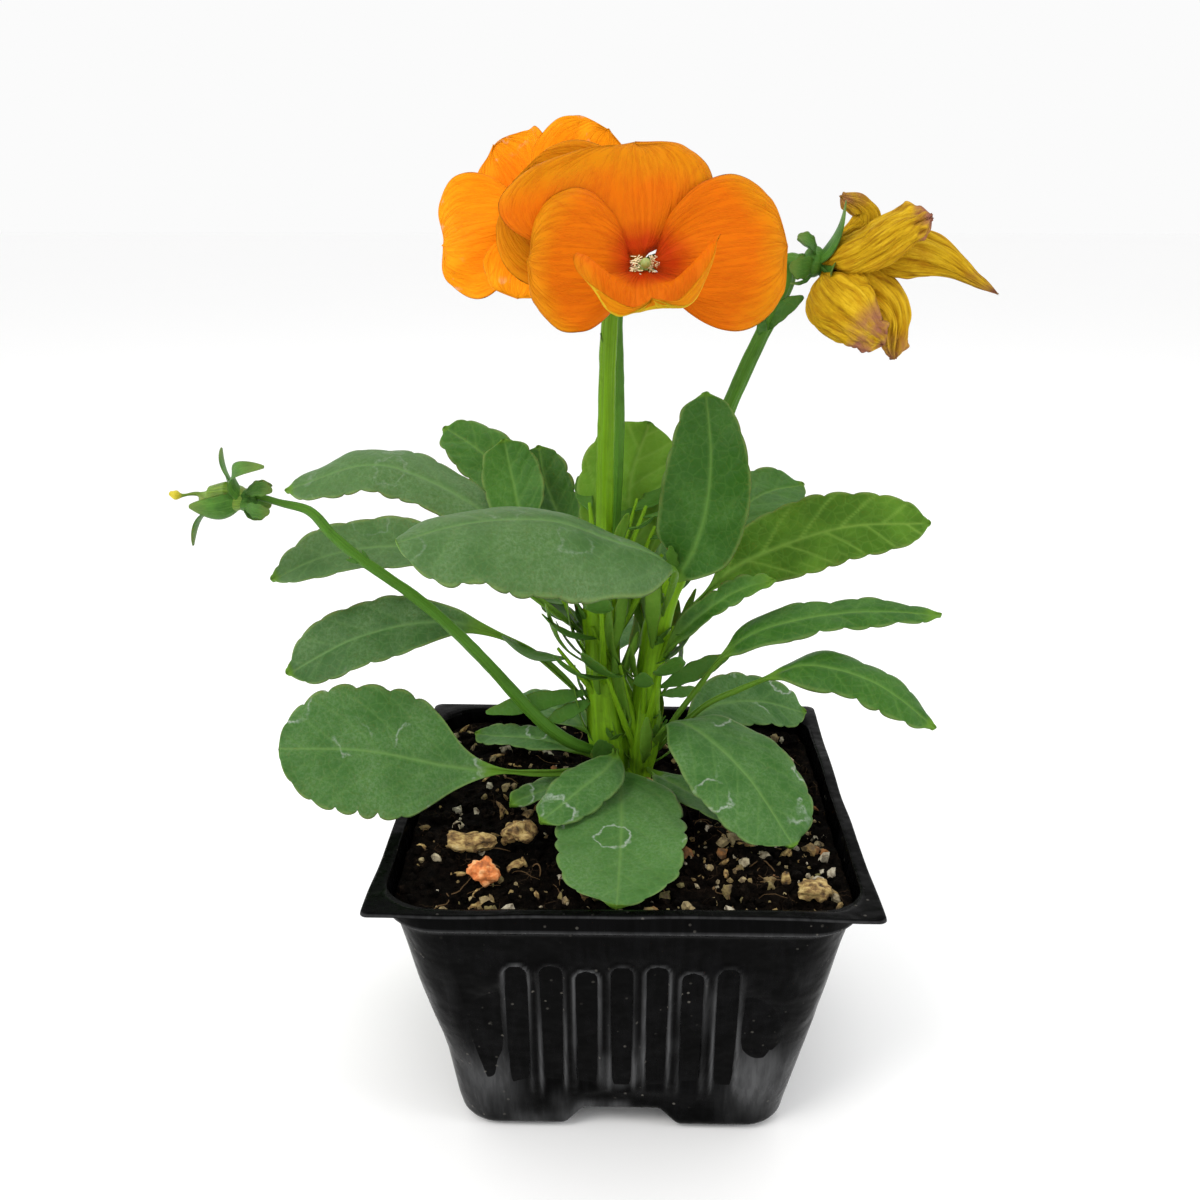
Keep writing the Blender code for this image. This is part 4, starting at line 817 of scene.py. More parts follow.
def make_pot():
    """One closed shell whose profile runs from the middle of the base outwards, up the wall,
    over the collar and rim, and back down inside to the middle of the floor."""
    rows = np.array([
        [a + (b - a) * (k / count) for a, b in zip(start, stop)] + [part]
        for part, count, start, stop in POT_PROFILE
        for k in range(count)
    ])
    halves, corners, heights = (rows[:, n] * MM for n in range(3))
    part = rows[:, 3:]
    rings, place = pot_rings(halves, corners, heights)
    outward = rings * (1.0, 1.0, 0.0)
    square = np.abs(outward).max(axis=-1, keepdims=True)
    facing = unit(np.where(np.abs(outward) > square - 8 * MM, outward, 0.0))

    z = rings[..., 2]
    wall = (part == HEEL) | (part == WALL)
    relief, bead_wear_and_sheen = flute_relief(place, z)
    push = np.where(wall, relief, 0.0)
    # Pale marks on the wall: along the flute beads partly scuffing, partly a painted highlight.
    worn = np.where(wall, bead_wear_and_sheen * (z < 44 * MM), 0.0)
    # Painted highlights along the collar's step and the rim's edge, partly scuffing too.
    worn += 0.8 * (part == COLLAR) * bell(heights[:, None] - 50.9 * MM, 0.35 * MM)
    lip_edge = ease(np.abs(heights[:, None] - 55.7 * MM), 0.25 * MM, 0.1 * MM)
    worn += 0.35 * (part == FLANGE) * lip_edge
    shine = noise(rings * (1.0, 1.0, 0.5), 8 * MM, seed=27, octaves=2)
    # Painted sheen: soft pale patches on the lower wall, a band along the foot and a glow at the
    # lower corners.
    worn += np.where(wall, 0.3 * ease(shine, 0.25, 0.8) * ease(z, 45 * MM, 30 * MM), 0.0)
    worn += np.where(wall, 0.5 * bell(z - 2.5 * MM, 2.0 * MM) * ease(shine, -0.2, 0.6), 0.0)
    corner_sheen = ease(np.abs(place), 15 * MM, 27 * MM) * bell(z - 11 * MM, 9 * MM)
    worn += np.where(wall, 0.75 * corner_sheen * (0.6 + 0.4 * shine), 0.0)
    arch = 45.0 * MM - 0.012 / MM * place**2
    panel = (1.0 - ease(z, arch - 5 * MM, arch)) * (1.0 - ease(np.abs(place), 23 * MM, 29 * MM))
    hollow = bell(np.abs(place) - 27 * MM, 4.5 * MM) * bell(z - 25 * MM, 9 * MM)
    soft = noise(rings, 15 * MM, seed=5) * 0.6 * MM + noise(rings, 6 * MM, seed=8) * 0.16 * MM
    dents = soft - 0.55 * MM * panel - 1.1 * MM * hollow
    push += np.where(wall, dents * ease(z, 1 * MM, 9 * MM), 0.0)
    push = np.where(wall, push * (1.0 - ease(z, 44 * MM, WALL_TOP)), push)
    lips = (square[..., 0] - 42 * MM) / (2.5 * MM)
    waist = 0.55 * MM * (1.0 - (place / (44 * MM)) ** 2) ** 2
    uneven = noise(rings, 9 * MM, seed=3) * 0.12 * MM * lips
    push += np.where(part == FLANGE, -waist * lips + uneven, 0.0)
    rings = rings + facing * push[..., None]
    sag = noise(rings * (1, 1, 0), 14 * MM, seed=11) * 0.35 * MM
    above_wall = part >= COLLAR
    rings[..., 2] += np.where(above_wall, sag * (part < INSIDE), 0.0) * ease(z, WALL_TOP, 55 * MM)

    rise, pit = foot_arch(rings, place)
    low = 1.0 - ease(z, 0.0, 13 * MM)
    rings[..., 2] += rise * low + np.where(part == BASE, pit, 0.0)
    too_high = rings[..., 2].max() - RIM_TOP
    rings[..., 2] -= np.where(above_wall, max(0.0, too_high), 0.0)

    floor_middle = np.array([[0.0, 0.0, 0.8 * MM]])
    shape = skins(rings[None], np.zeros((1, 3)), floor_middle)
    marks = {"worn": on_points(np.clip(worn, 0.0, 1.0), 1)}
    add_piece("nursery_pot", shape, PLASTIC, ["pot"], marks)


make_pot()


# ------------------------------------------------------------------ soil

rng = np.random.default_rng(20)
soil_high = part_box("soil")[1][2]
crown_low, crown_high = (np.array(corner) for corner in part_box("crown"))
CROWN_X, CROWN_Y = ((crown_low + crown_high) / 2)[:2]
SOIL_LEVEL = soil_high - 1.4 * MM


def soil_top(x, y):
    """Height of the soil: level, with swells, crumbs at three sizes, and a heap at the crown."""
    spot = np.stack([x, y, np.zeros_like(x)], -1)
    swell = noise(spot, 14 * MM, seed=21) * 0.7 * MM
    crumbs = noise(spot, 3.2 * MM, seed=22, octaves=3) * 0.75 * MM
    heap = 1.1 * MM * np.exp(-((x - CROWN_X) ** 2 + (y - CROWN_Y) ** 2) / (12 * MM) ** 2)
    return SOIL_LEVEL + swell + crumbs + heap


def make_soil():
    """A closed body: up the inside of the pot, then inwards over the crumbed top."""
    inset = SHEET + 0.35 * MM
    top_rows = 84
    halves = [10, 29.0, 30.6, 35.0, 39.6, 40.6]
    corners = [3, 5.6, 6.6, 7.5, 8.6, 8.6]
    heights = [5.4, 5.6, 7.0, 25.0, 48.0, 50.5]
    halves = [h * MM - inset + 1.0 * MM for h in halves]
    below = len(halves)
    top = np.linspace(1.0, 0.012, top_rows)
    halves = np.concatenate([halves, 40.7 * MM * top])
    corners = np.concatenate([np.array(corners) * MM, 8.6 * MM * top])
    heights = np.concatenate([np.array(heights) * MM, np.full(top_rows, SOIL_LEVEL)])
    rings, _ = pot_rings(halves, corners, heights)
    rings[below:, :, 2] = soil_top(rings[below:, :, 0], rings[below:, :, 1])
    start = np.array([[0.0, 0.0, 5.4 * MM]])
    end = np.array([[0.0, 0.0, soil_top(np.zeros(1), np.zeros(1))[0]]])
    add_piece("soil_body", skins(rings[None], start, end), PEAT, ["soil"])


make_soil()


def lumps(centres, sizes, seed, rough=0.35, detail=1):
    """Many irregular lumps: the corners of an octahedron split once or more and pushed out to
    a sphere, each corner's radius then jittered, and the whole stretched and turned. Gives
    their shape, and how many corners each has."""
    base = np.array([[1, 0, 0], [-1, 0, 0], [0, 1, 0], [0, -1, 0], [0, 0, 1], [0, 0, -1]], float)
    faces = np.array(
        [[0, 2, 4], [2, 1, 4], [1, 3, 4], [3, 0, 4], [2, 0, 5], [1, 2, 5], [3, 1, 5], [0, 3, 5]]
    )
    for _ in range(detail):
        a, b, c = (base[faces[:, n]] for n in range(3))
        corners = np.stack([a, unit(a + b), unit(c + a), b, unit(b + c), c], axis=1)
        flat = np.round(corners.reshape(-1, 3), 9)
        base, index = np.unique(flat, axis=0, return_inverse=True)
        index = index.reshape(-1, 6)
        faces = index[:, [0, 1, 2, 1, 3, 4, 2, 4, 5, 1, 4, 2]].reshape(-1, 3)
    count = len(centres)
    draw = np.random.default_rng(seed)
    radii = 1.0 + rough * (draw.random((count, len(base), 1)) - 0.5)
    turn, _ = np.linalg.qr(draw.normal(size=(count, 3, 3)))
    turn *= np.linalg.det(turn)[:, None, None]
    points = np.einsum("nij,nkj->nki", turn, base[None] * radii * sizes[:, None])
    points += centres[:, None]
    faces = faces[None] + (np.arange(count) * len(base))[:, None, None]
    return (points.reshape(-1, 3), [faces.reshape(-1, 3)], None), len(base)


def scatter(count, clear=5.5):
    """Places on the soil, inside the rounded square of the mouth and off the crown."""
    spots = rng.uniform(-39.6, 39.6, (count * 2, 2)) * MM
    corner = np.maximum(np.abs(spots) - 31.5 * MM, 0.0)
    inside = np.hypot(corner[:, 0], corner[:, 1]) < 7.6 * MM
    away = np.hypot(spots[:, 0] - CROWN_X, spots[:, 1] - CROWN_Y) > clear * MM
    spots = spots[inside & away][:count]
    height = soil_top(spots[:, 0], spots[:, 1])
    return np.column_stack([spots, height])


def make_crumbs():
    """Crumbs of peat all over the soil, most of them small."""
    places = scatter(1500)
    size = 0.35 * MM + 0.85 * MM * rng.random((len(places), 1)) ** 2.2
    sizes = size * rng.uniform(0.6, 1.25, (len(places), 3))
    places[:, 2] += 0.35 * size[:, 0]
    shape, _ = lumps(places, sizes, seed=31, rough=0.55)
    add_piece("soil_crumbs", shape, PEAT, smooth=False)


def make_grains():
    """Grains of perlite and pumice, thickest at the front right."""
    places = scatter(900)
    chance = 0.28 + 0.72 * ease(places[:, 0] - places[:, 1], -10 * MM, 40 * MM)
    places = places[rng.random(len(places)) < chance]
    size = 0.28 * MM + 1.05 * MM * rng.random((len(places), 1)) ** 2.6
    sizes = size * rng.uniform(0.55, 1.4, (len(places), 3))
    places[:, 2] += 0.3 * size[:, 0]
    shape, each = lumps(places, sizes, seed=32, rough=0.65)
    kind = np.repeat(rng.random(len(places)) ** 1.3, each)
    add_piece("perlite_grains", shape, GRAIN, marks={"kind": kind}, smooth=False)


def make_flecks():
    """Flat flecks of bark."""
    places = scatter(60)
    sizes = rng.uniform(0.5, 1.0, (len(places), 3)) * (2.4 * MM, 1.0 * MM, 0.5 * MM)
    places[:, 2] += 0.5 * MM
    shape, _ = lumps(places, sizes, seed=33, rough=0.4)
    add_piece("bark_flecks", shape, BARK)


def tubes(lines, radii, sides, squash=None):
    """Round tubes along lines [count, rows, 3] with radii [count, rows]: each ring is turned
    square to its line, starting from the direction least like the line."""
    ahead = unit(np.gradient(lines, axis=1))
    mean = unit(ahead.mean(axis=1))
    pick = np.eye(3)[np.abs(mean).argmin(axis=1)]
    across = unit(np.cross(ahead, pick[:, None]))
    up = np.cross(across, ahead)
    angle = round_the_clock(sides)
    ring = np.cos(angle)[:, None] * across[:, :, None] + np.sin(angle)[:, None] * up[:, :, None]
    wide = radii[..., None, None] * (1.0 if squash is None else squash(angle)[..., None])
    rings = lines[:, :, None] + ring * wide
    starts = lines[:, 0] - ahead[:, 0] * radii[:, :1] * 0.4
    ends = lines[:, -1] + ahead[:, -1] * radii[:, -1:] * 0.4
    return rings, starts, ends


def make_fibres():
    """Thin root and peat threads that wander over the soil and now and then arch off it."""
    places = scatter(64)
    count, rows = len(places), 9
    t = np.linspace(-0.5, 0.5, rows)
    angle = rng.uniform(0, 2 * math.pi, (count, 1)) + rng.uniform(-1.6, 1.6, (count, 1)) * t
    length = rng.uniform(3.0, 9.0, (count, 1)) * MM
    x = places[:, :1] + np.cos(angle) * length * t
    y = places[:, 1:2] + np.sin(angle) * length * t
    inside = np.maximum(np.abs(x), np.abs(y)).max(axis=1) < 39 * MM
    lift = rng.uniform(0.2, 1.6, (count, 1)) * MM * np.cos(math.pi * t)
    z = soil_top(x, y) + lift
    lines = np.stack([x, y, z], -1)[inside]
    radii = np.full(lines.shape[:2], 0.07 * MM) * rng.uniform(0.7, 1.8, (len(lines), 1))
    add_piece("soil_fibres", skins(*tubes(lines, radii, 5)), FIBRE)


make_crumbs()
make_grains()
make_flecks()
make_fibres()


def make_chip(node, look, seed, broken):
    """A broken lump that fills its solid's box: a sphere stretched to the box, its surface
    pushed in and out by noise, more along the grain than across it."""
    low, high = (np.array(corner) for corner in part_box(node))
    middle, half = (low + high) / 2, (high - low) / 2
    rows, cols = 22, 34
    polar = (np.arange(rows) + 1.0) / (rows + 1) * math.pi
    angle = round_the_clock(cols)
    out, up = np.sin(polar)[:, None], np.cos(polar)[:, None]
    ball = np.stack([out * np.cos(angle), out * np.sin(angle), up * np.ones(cols)], -1)
    boxy = ball / np.maximum(np.abs(ball).max(axis=-1, keepdims=True), 1e-9)
    ball = ball * 0.75 + boxy * 0.2
    rough = noise(ball, 0.7, seed=seed, octaves=4) * broken
    rings = middle + ball * half * (1.0 + rough[..., None])
    poles = middle + np.array([[0, 0, 0.92], [0, 0, -0.92]]) * half
    add_piece(f"{node}_rough", skins(rings[None], poles[:1], poles[1:]), look, [node])


make_chip("bark_chip_left", BARK, seed=41, broken=0.42)
make_chip("bark_chip_middle", BARK, seed=42, broken=0.46)
make_chip("bark_chip_right", BARK, seed=43, broken=0.42)
make_chip("petal_scrap", SCRAP, seed=44, broken=0.5)


# ------------------------------------------------------------------ stems and stalks

crown_middle = (crown_low + crown_high) / 2
crown_line, crown_radii = solid_axis("crown", crown_low, 10)
stem_lines = {name: solid_axis(name, crown_middle) for name in ("stem_main", "stem_side")}


def fine_line(line, radii, rows):
    """A measured middle line and its radii, resampled evenly."""
    knots = arc_lengths(line)
    t = np.linspace(0.0, knots[-1], rows)
    return through(knots, line, t), np.interp(t, knots, radii), t


stem_fine = np.concatenate([fine_line(*measured, 80)[0] for measured in stem_lines.values()])


def rib(strength, count):
    """A tube's radius against the angle round it: count ribs with sharp grooves between."""
    return lambda angle: 1.0 + strength * np.abs(np.cos(count * angle / 2))


def make_stem(name, look, sunk, raised, ribs, thick, swell=0.0):
    """A ribbed tube, thicker than its solid by a factor. It starts sunk mm inside what it
    grows from and ends raised mm inside what it carries. Swell thickens it in rings, as at a
    stem's joints."""
    line, radii = stem_lines[name] if name in stem_lines else stalk_lines[name]
    ahead = headings(line)
    line = line.copy()
    line[0] -= ahead[0] * (sunk * MM)
    line[-1] += ahead[-1] * (raised * MM)
    fine, radius, along = fine_line(line, radii, 110)
    radius = radius * thick * (1.0 + swell * np.sin(along / (7.5 * MM)) ** 8)
    radius = radius * (1.0 + 0.05 * noise(fine, 4 * MM, seed=7))
    rings, starts, ends = tubes(fine[None], radius[None], 40, rib(0.17, ribs))
    rings = pushed(rings, fine, noise(rings, 1.6 * MM, 9) * 0.05 * MM)
    age = np.broadcast_to(ease(-fine[:, 2], -80 * MM, -52 * MM)[:, None], rings.shape[1:3])
    marks = {"age": on_points(age, 1)}
    add_piece(f"{name}_ribbed", skins(rings, starts, ends), look, [name], marks)


def make_crown():
    """The knobbly base that the stems leave, with its taproot going down into the soil."""
    fine, radius, _ = fine_line(crown_line, crown_radii, 60)
    radius = radius * (1.0 + 0.16 * noise(fine, 2.5 * MM, seed=14))
    rings, starts, ends = tubes(fine[None], radius[None], 40, rib(0.09, 7))
    rings = pushed(rings, fine, noise(rings, 1.8 * MM, seed=15, octaves=2) * 0.55 * MM)
    marks = {"age": np.ones(rings[0].shape[0] * rings[0].shape[1] + 2)}
    add_piece("crown_knobs", skins(rings, starts, ends), STEM, ["crown"], marks)


make_crown()
stalk_lines = {
    name: solid_axis(name, stem_fine)
    for name in ("stalk_front", "stalk_back", "stalk_withered", "stalk_seed")
}
make_stem("stem_main", STEM, sunk=2.4, raised=0.4, ribs=6, thick=1.42, swell=0.08)
make_stem("stem_side", STEM, sunk=2.4, raised=0.4, ribs=5, thick=1.3, swell=0.08)
make_stem("stalk_front", FRONT_STALK, sunk=1.4, raised=1.0, ribs=4, thick=0.94)
make_stem("stalk_back", STALK, sunk=1.4, raised=1.0, ribs=4, thick=0.94)
make_stem("stalk_withered", STALK, sunk=1.4, raised=1.2, ribs=4, thick=0.95)
make_stem("stalk_seed", STALK, sunk=1.4, raised=4.2, ribs=4, thick=0.72)


# ------------------------------------------------------------------ leaves


def blade_rows(measured, spacing, gather=1.5):
    """A blade's measured lines at fine rows, gathered towards the tip, with its directions."""
    line, left, right = measured
    knots = arc_lengths(line)
    rows = int(np.clip(knots[-1] / spacing, 22, 118))
    share = 1.0 - (1.0 - np.arange(1, rows + 1) / (rows + 1)) ** gather
    t = share * knots[-1]
    middle, left, right = (through(knots, values, t) for values in (line, left, right))
    ahead = headings(middle)
    across = unit(right - left)
    up = unit(np.cross(across, ahead))
    return middle, left, right, ahead, up, t, share


def sheet_skin(top, under, start, end):
    """Closes an upper and a lower surface [rows, columns, 3] that share their margins."""
    rings = np.concatenate([top, under[:, -2:0:-1]], axis=1)
    return skins(rings[None], start[None], end[None])


def sheet_marks(marks):
    """Marks [rows, columns] that both sides of a sheet share, and under, 1 on its lower side."""
    above = np.zeros_like(marks["vein"])
    pairs = {key: (values, values) for key, values in marks.items()}
    pairs["under"] = (above, above + 1.0)
    return {
        key: on_points(np.concatenate([top, low[:, -2:0:-1]], axis=1), 1)
        for key, (top, low) in pairs.items()
    }


def make_leaf(
    node, look, seed, tooth=4.8, depth=0.85, wavy=0.9, veined=0.45, tone=0.0, slim=1.0, blunt=0.99
):
    """A pansy leaf on its stalk. Across the blade, a point is the middle line plus s half
    widths, lifted by the measured parabola in s. The margin is drawn in between rounded
    teeth. Side veins leave the midrib at a steady pitch and lean forward; the upper side dips
    along the veins and swells between them, and the lower side stands out along them. Slim
    narrows the blade to that share of the solid's width. From the share of the length that
    blunt gives, the margins are at least as far out as a quarter ellipse ending at the tip."""
    measured = solid_sheet(node, stem_fine, SKYWARD)
    middle, left, right, ahead, up, t, share = blade_rows(measured, 0.46 * MM)
    along = t / t[-1]
    plain = np.linalg.norm(right - left, axis=-1)
    round_end = np.interp(blunt, along, plain) * np.sqrt(
        1.0 - np.clip((along - blunt) / (1.0 - blunt), 0.0, 1.0) ** 2
    )
    fuller = np.where(along > blunt, np.maximum(round_end / plain.clip(0.2 * MM), 1.0), 1.0)
    left, right = (middle + (margin - middle) * slim * fuller[:, None] for margin in (left, right))
    half = np.linalg.norm(right - left, axis=-1) / 2
    blade = ease(half, 1.1 * MM, 2.8 * MM)
    before_blade = t[np.argmax(half > 1.6 * MM)]
    length = t[-1] - before_blade
    cols = int(np.clip(round(half.max() / (0.44 * MM)), 8, 30)) * 2 + 1
    s = np.linspace(-1.0, 1.0, cols)[None]
    side = np.sign(s)
    w = arc_lengths(np.stack([t, half], -1))[:, None]
    phase = noise(np.array([[seed, 0.5, 0.5]]), 1.0, 3)[0]
    tooth = tooth * MM
    bumps = np.abs(np.sin(math.pi * (w / tooth + 0.31 * side + phase)))
    notch = depth * MM * (1.0 - bumps**0.5) * (0.8 + 0.3 * np.sin(w / (9 * MM) + seed))
    toothed = ease((t - before_blade) / length, 0.2, 0.5)
    notch = np.minimum(notch, 0.25 * half[:, None]) * toothed[:, None]
    half_now = half[:, None]
    flare = 1.0 + 0.9 * bell(t, 1.6 * MM)[:, None]
    at = s * (1.0 - notch / half_now * np.abs(s) ** 3) * flare
    surface = middle[:, None] + ((right - left) / 2)[:, None] * at[..., None]
    surface += ((left + right) / 2 - middle)[:, None] * (at**2)[..., None]

    b = half_now * np.abs(at)
    vein_pitch = length / 5.4
    q = (t[:, None] - before_blade - 1.05 * b - 0.03 * b**2 / MM) / vein_pitch + 0.21 * side
    q = q + 0.05 * np.sin(b / (2.3 * MM) + seed)
    apart = np.abs(q - np.round(q)) * vein_pitch * 0.66
    near_rim = 1.0 - ease(np.abs(s), 0.8, 1.0)
    blade = blade[:, None]
    rib_width = (0.62 - 0.42 * share[:, None]) * MM
    midrib = bell(b, rib_width) * blade
    laterals = bell(apart, 0.26 * MM) * near_rim * blade * (q > -0.4)
    fork = np.abs(apart - 0.5 * vein_pitch * 0.66)
    forks = bell(fork, 0.22 * MM) * near_rim * ease(np.abs(s), 0.45, 0.7) * blade
    quilt = (1.0 - bell(apart, 1.3 * MM)) * np.sin(math.pi * np.abs(s)) * blade
    swell = 0.15 * MM * quilt * min(1.0, vein_pitch / (5 * MM))

    wave = 0.5 * MM * s**2 * np.sin(2 * math.pi * w / (14 * MM) + 1.9 * side + seed)
    roll = noise(surface, 13 * MM, seed=seed) * 0.8 * MM
    lift = (wave + roll) * blade * wavy
    taper = np.sqrt(np.maximum(1.0 - s**2, 0.0))
    flat = np.sqrt(np.maximum(1.0 - s**6, 0.0))
    stalk_top = (0.42 * taper - 0.5 * bell(s, 0.4) * taper) * MM
    stalk_under = 0.85 * MM * taper * (1.0 + 0.25 * bell(t, 3 * MM)[:, None])
    blade_top = 0.13 * MM * flat + swell - 0.24 * MM * midrib - 0.07 * MM * laterals
    keel = 0.62 * MM * bell(b, 0.62 * MM) * (1.0 - share[:, None]) ** 0.6
    blade_under = 0.13 * MM * flat - swell * 0.8 + keel + 0.13 * MM * (laterals + 0.5 * forks)
    rise = lift + stalk_top * (1 - blade) + blade_top * blade
    fall = lift - stalk_under * (1 - blade) - blade_under * blade
    top = surface + up[:, None] * rise[..., None]
    low = surface + up[:, None] * fall[..., None]
    edge = np.abs(s) > 0.999
    low = np.where(edge[..., None], top, low)

    rim = ease(b, half_now - 0.75 * MM, half_now - 0.25 * MM) * blade
    veins = np.clip(midrib + veined * (laterals + forks * 0.4), 0, 1)
    stalk = np.broadcast_to(1.0 - blade, veins.shape)
    marks = {"vein": veins, "rim": rim, "stalk": stalk, "tone": np.full_like(veins, tone)}
    start = measured[0][0] - ahead[0] * 1.3 * MM
    shape = sheet_skin(top, low, start, measured[0][-1])
    add_piece(f"{node}_blade", shape, look, [node], sheet_marks(marks))
    return measured[0]


LEAF_FORMS = {
    "leaf_arch_left": {"tone": 1.0},
    "leaf_behind_left": {"tone": 0.5},
    "leaf_front_low": {"tone": 0.4, "blunt": 0.74, "depth": 1.5},
    "leaf_low_left": {"blunt": 0.78, "depth": 1.5},
    "leaf_mid_left": {"tone": -0.1},
    "leaf_right_droop": {"tone": -0.4, "slim": 0.82},
    "leaf_right_long": {"tone": -0.4, "slim": 0.74},
    "leaf_right_pale": {"tone": -0.35},
    "leaf_right_small": {"tone": -0.3, "slim": 0.7},
    "leaf_saddle": {"tone": 0.35, "blunt": 0.86},
    "leaf_tall_dark": {"tone": -0.5, "veined": 0.12, "depth": 0.4, "wavy": 0.6},
    "leaf_tall_pale": {"tone": 0.45},
    "leaf_top_inner": {"tone": -0.5},
}
ARCHED_LEAVES = ("leaf_saddle", "leaf_mid_left", "leaf_arch_left", "leaf_behind_left")
DUSTY_BELOW = 84 * MM  # a leaf whose top is lower than this carries splashed dust
leaf_nodes = sorted(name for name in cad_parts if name.startswith("leaf_"))
leaf_lines = []
for index, leaf_node in enumerate(leaf_nodes):
    pale = "pale" in leaf_node
    if pale:
        leaf_skin = PALE_LEAF
    elif leaf_node in ARCHED_LEAVES:
        leaf_skin = ARCHED_LEAF
    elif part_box(leaf_node)[1][2] < DUSTY_BELOW:
        leaf_skin = DUSTY_LEAF
    else:
        leaf_skin = LEAF
    small = "soil" in leaf_node or "small" in leaf_node
    form = {"tooth": 3.9 if small else 5.0, "veined": 0.75 if pale else 0.3}
    form.update(LEAF_FORMS.get(leaf_node, {}))
    leaf_lines.append(make_leaf(leaf_node, leaf_skin, index + 3, **form))
leaf_starts = np.array([line[0] for line in leaf_lines])
leaf_aims = np.array([unit(line[3] - line[0]) for line in leaf_lines])


def blades(base, tip, up, half, bow, thick, rows=15, cols=4, belly=0.4, lobes=0.0):
    """Many small lance-shaped blades. The middle line runs straight from base to tip and bows
    upwards as a half sine; the half width is t^a (1 - t)^b, greatest at belly; the margins
    are lifted by the square of s; lobes cuts the margin into shallow teeth."""
    t = (1.0 - np.cos(np.arange(1, rows + 1) / (rows + 1) * math.pi)) / 2
    line = base[:, None] + (tip - base)[:, None] * t[:, None]
    line += up[:, None] * (bow[:, None] * np.sin(math.pi * t))[..., None]
    ahead = unit(np.gradient(line, axis=1))
    across = unit(np.cross(ahead, up[:, None]))
    normal = np.cross(across, ahead)
    rise = 0.8 * belly / (1 - belly)
    shape = t**rise * (1 - t) ** 0.8
    width = half[:, None] * (0.12 + 0.88 * shape / shape.max())
    width = width * (1.0 - lobes * np.abs(np.sin(math.pi * t * 4)) ** 3)
    s = np.linspace(-1, 1, 2 * cols + 1)
    lift = 0.22 * width[..., None] * s**2
    body = thick * np.sqrt(np.maximum(1 - s**2, 0.0)) * (0.4 + 0.6 * (1 - t))[:, None]
    flat = line[:, :, None] + across[:, :, None] * (width[..., None] * s)[..., None]
    top = flat + normal[:, :, None] * (lift + 0.5 * body)[..., None]
    low = flat + normal[:, :, None] * (lift - 0.5 * body)[..., None]
    rings = np.concatenate([top, low[:, :, -2:0:-1]], axis=2)
    marks = np.broadcast_to(ease(t, 0.6, 1.0)[None, :, None], rings.shape[:3])
    return rings, base, tip, marks


def blade_piece(name, made, look, slot, nodes=(), **extra):
    """A piece of many blades. Its points are marked with how near they are to a tip, and with
    each extra mark, the same everywhere."""
    rings, starts, ends, tip = made
    poles = np.tile([0.0, 1.0], (len(rings), 1))
    tip = np.concatenate([tip.reshape(len(rings), -1), poles], axis=1).ravel()
    marks = {key: np.full(tip.size, value) for key, value in extra.items()}
    add_piece(name, skins(rings, starts, ends), look, nodes, {"tip": tip, **marks})


def make_stipules():
    """Leafy lobes in pairs beside each leaf's base, and a tuft of young leaves at the crown."""
    count = len(leaf_starts)
    aim = np.repeat(leaf_aims * (1, 1, 0), 3, axis=0)
    aim = unit(aim + np.array([1e-6, 0, 0]))
    base = np.repeat(leaf_starts, 3, axis=0)
    n = len(base)
    swing = np.tile([-1.0, 1.0, 0.0], count) * rng.uniform(0.5, 1.2, n)
    cos, sin = np.cos(swing), np.sin(swing)
    x, y = aim[:, 0], aim[:, 1]
    turned = np.column_stack([cos * x - sin * y, sin * x + cos * y, 0 * cos])
    steep = rng.uniform(0.9, 2.3, (n, 1))
    heading = unit(turned + UP * steep)
    length = rng.uniform(5.0, 12.0, (n, 1)) * MM
    base = base - turned * 1.2 * MM
    low = base[:, 2] < 66 * MM
    length[low] *= 0.75
    tip = base + heading * length
    tip[:, 2] = np.maximum(tip[:, 2], 57 * MM)
    up = square_to(heading, UP)
    half = rng.uniform(0.13, 0.2, n) * length[:, 0]
    bow = rng.uniform(-0.12, 0.16, n) * length[:, 0]
    made = blades(base, tip, up, half, bow, 0.45 * MM, belly=0.5, lobes=0.35)
    blade_piece("stipules", made, LEAF, "leaf_green", vein=0.15, stalk=0.35)


def make_young_leaves():
    """Narrow young leaves that rise close about both stems from the joints between them."""
    n = 46
    pick = rng.integers(6, 130, n)
    line = stem_fine[pick]
    angle = rng.uniform(0, 2 * math.pi, n)
    out = np.column_stack([np.cos(angle), np.sin(angle), np.zeros(n)])
    out[:, 1] = np.where(rng.random(n) < 0.35, -np.abs(out[:, 1]), out[:, 1])
    steep = rng.uniform(1.1, 3.4, (n, 1))
    heading = unit(out + UP * steep)
    length = rng.uniform(9.0, 24.0, (n, 1)) * MM
    length = np.minimum(length, 116 * MM - line[:, 2:])
    base = line + out * 1.5 * MM
    tip = base + heading * length
    up = square_to(heading, -out)
    half = rng.uniform(0.07, 0.12, n) * length[:, 0]
    bow = -rng.uniform(0.04, 0.2, n) * length[:, 0]
    some = slice(0, 33)
    made = blades(
        base[some], tip[some], up[some], half[some], bow[some], 0.4 * MM, 20, 4, 0.66, 0.12
    )
    blade_piece("young_leaves", made, PALE_LEAF, "leaf_pale_green", vein=0.2, stalk=0.25)


OVAL_LEAFLETS = [
    ("stem_main", 73.0, (-21.5, -5.5, -2.6), 2.1),
    ("stem_main", 71.0, (-9.5, -4.0, -3.4), 1.7),
    ("stem_side", 74.0, (13.6, -4.0, 8.7), 2.1),
    ("stem_side", 71.5, (9.2, 4.0, -0.4), 1.3),
    ("stem_main", 56.0, (-1.8, -3.4, 8.2), 2.9),
]


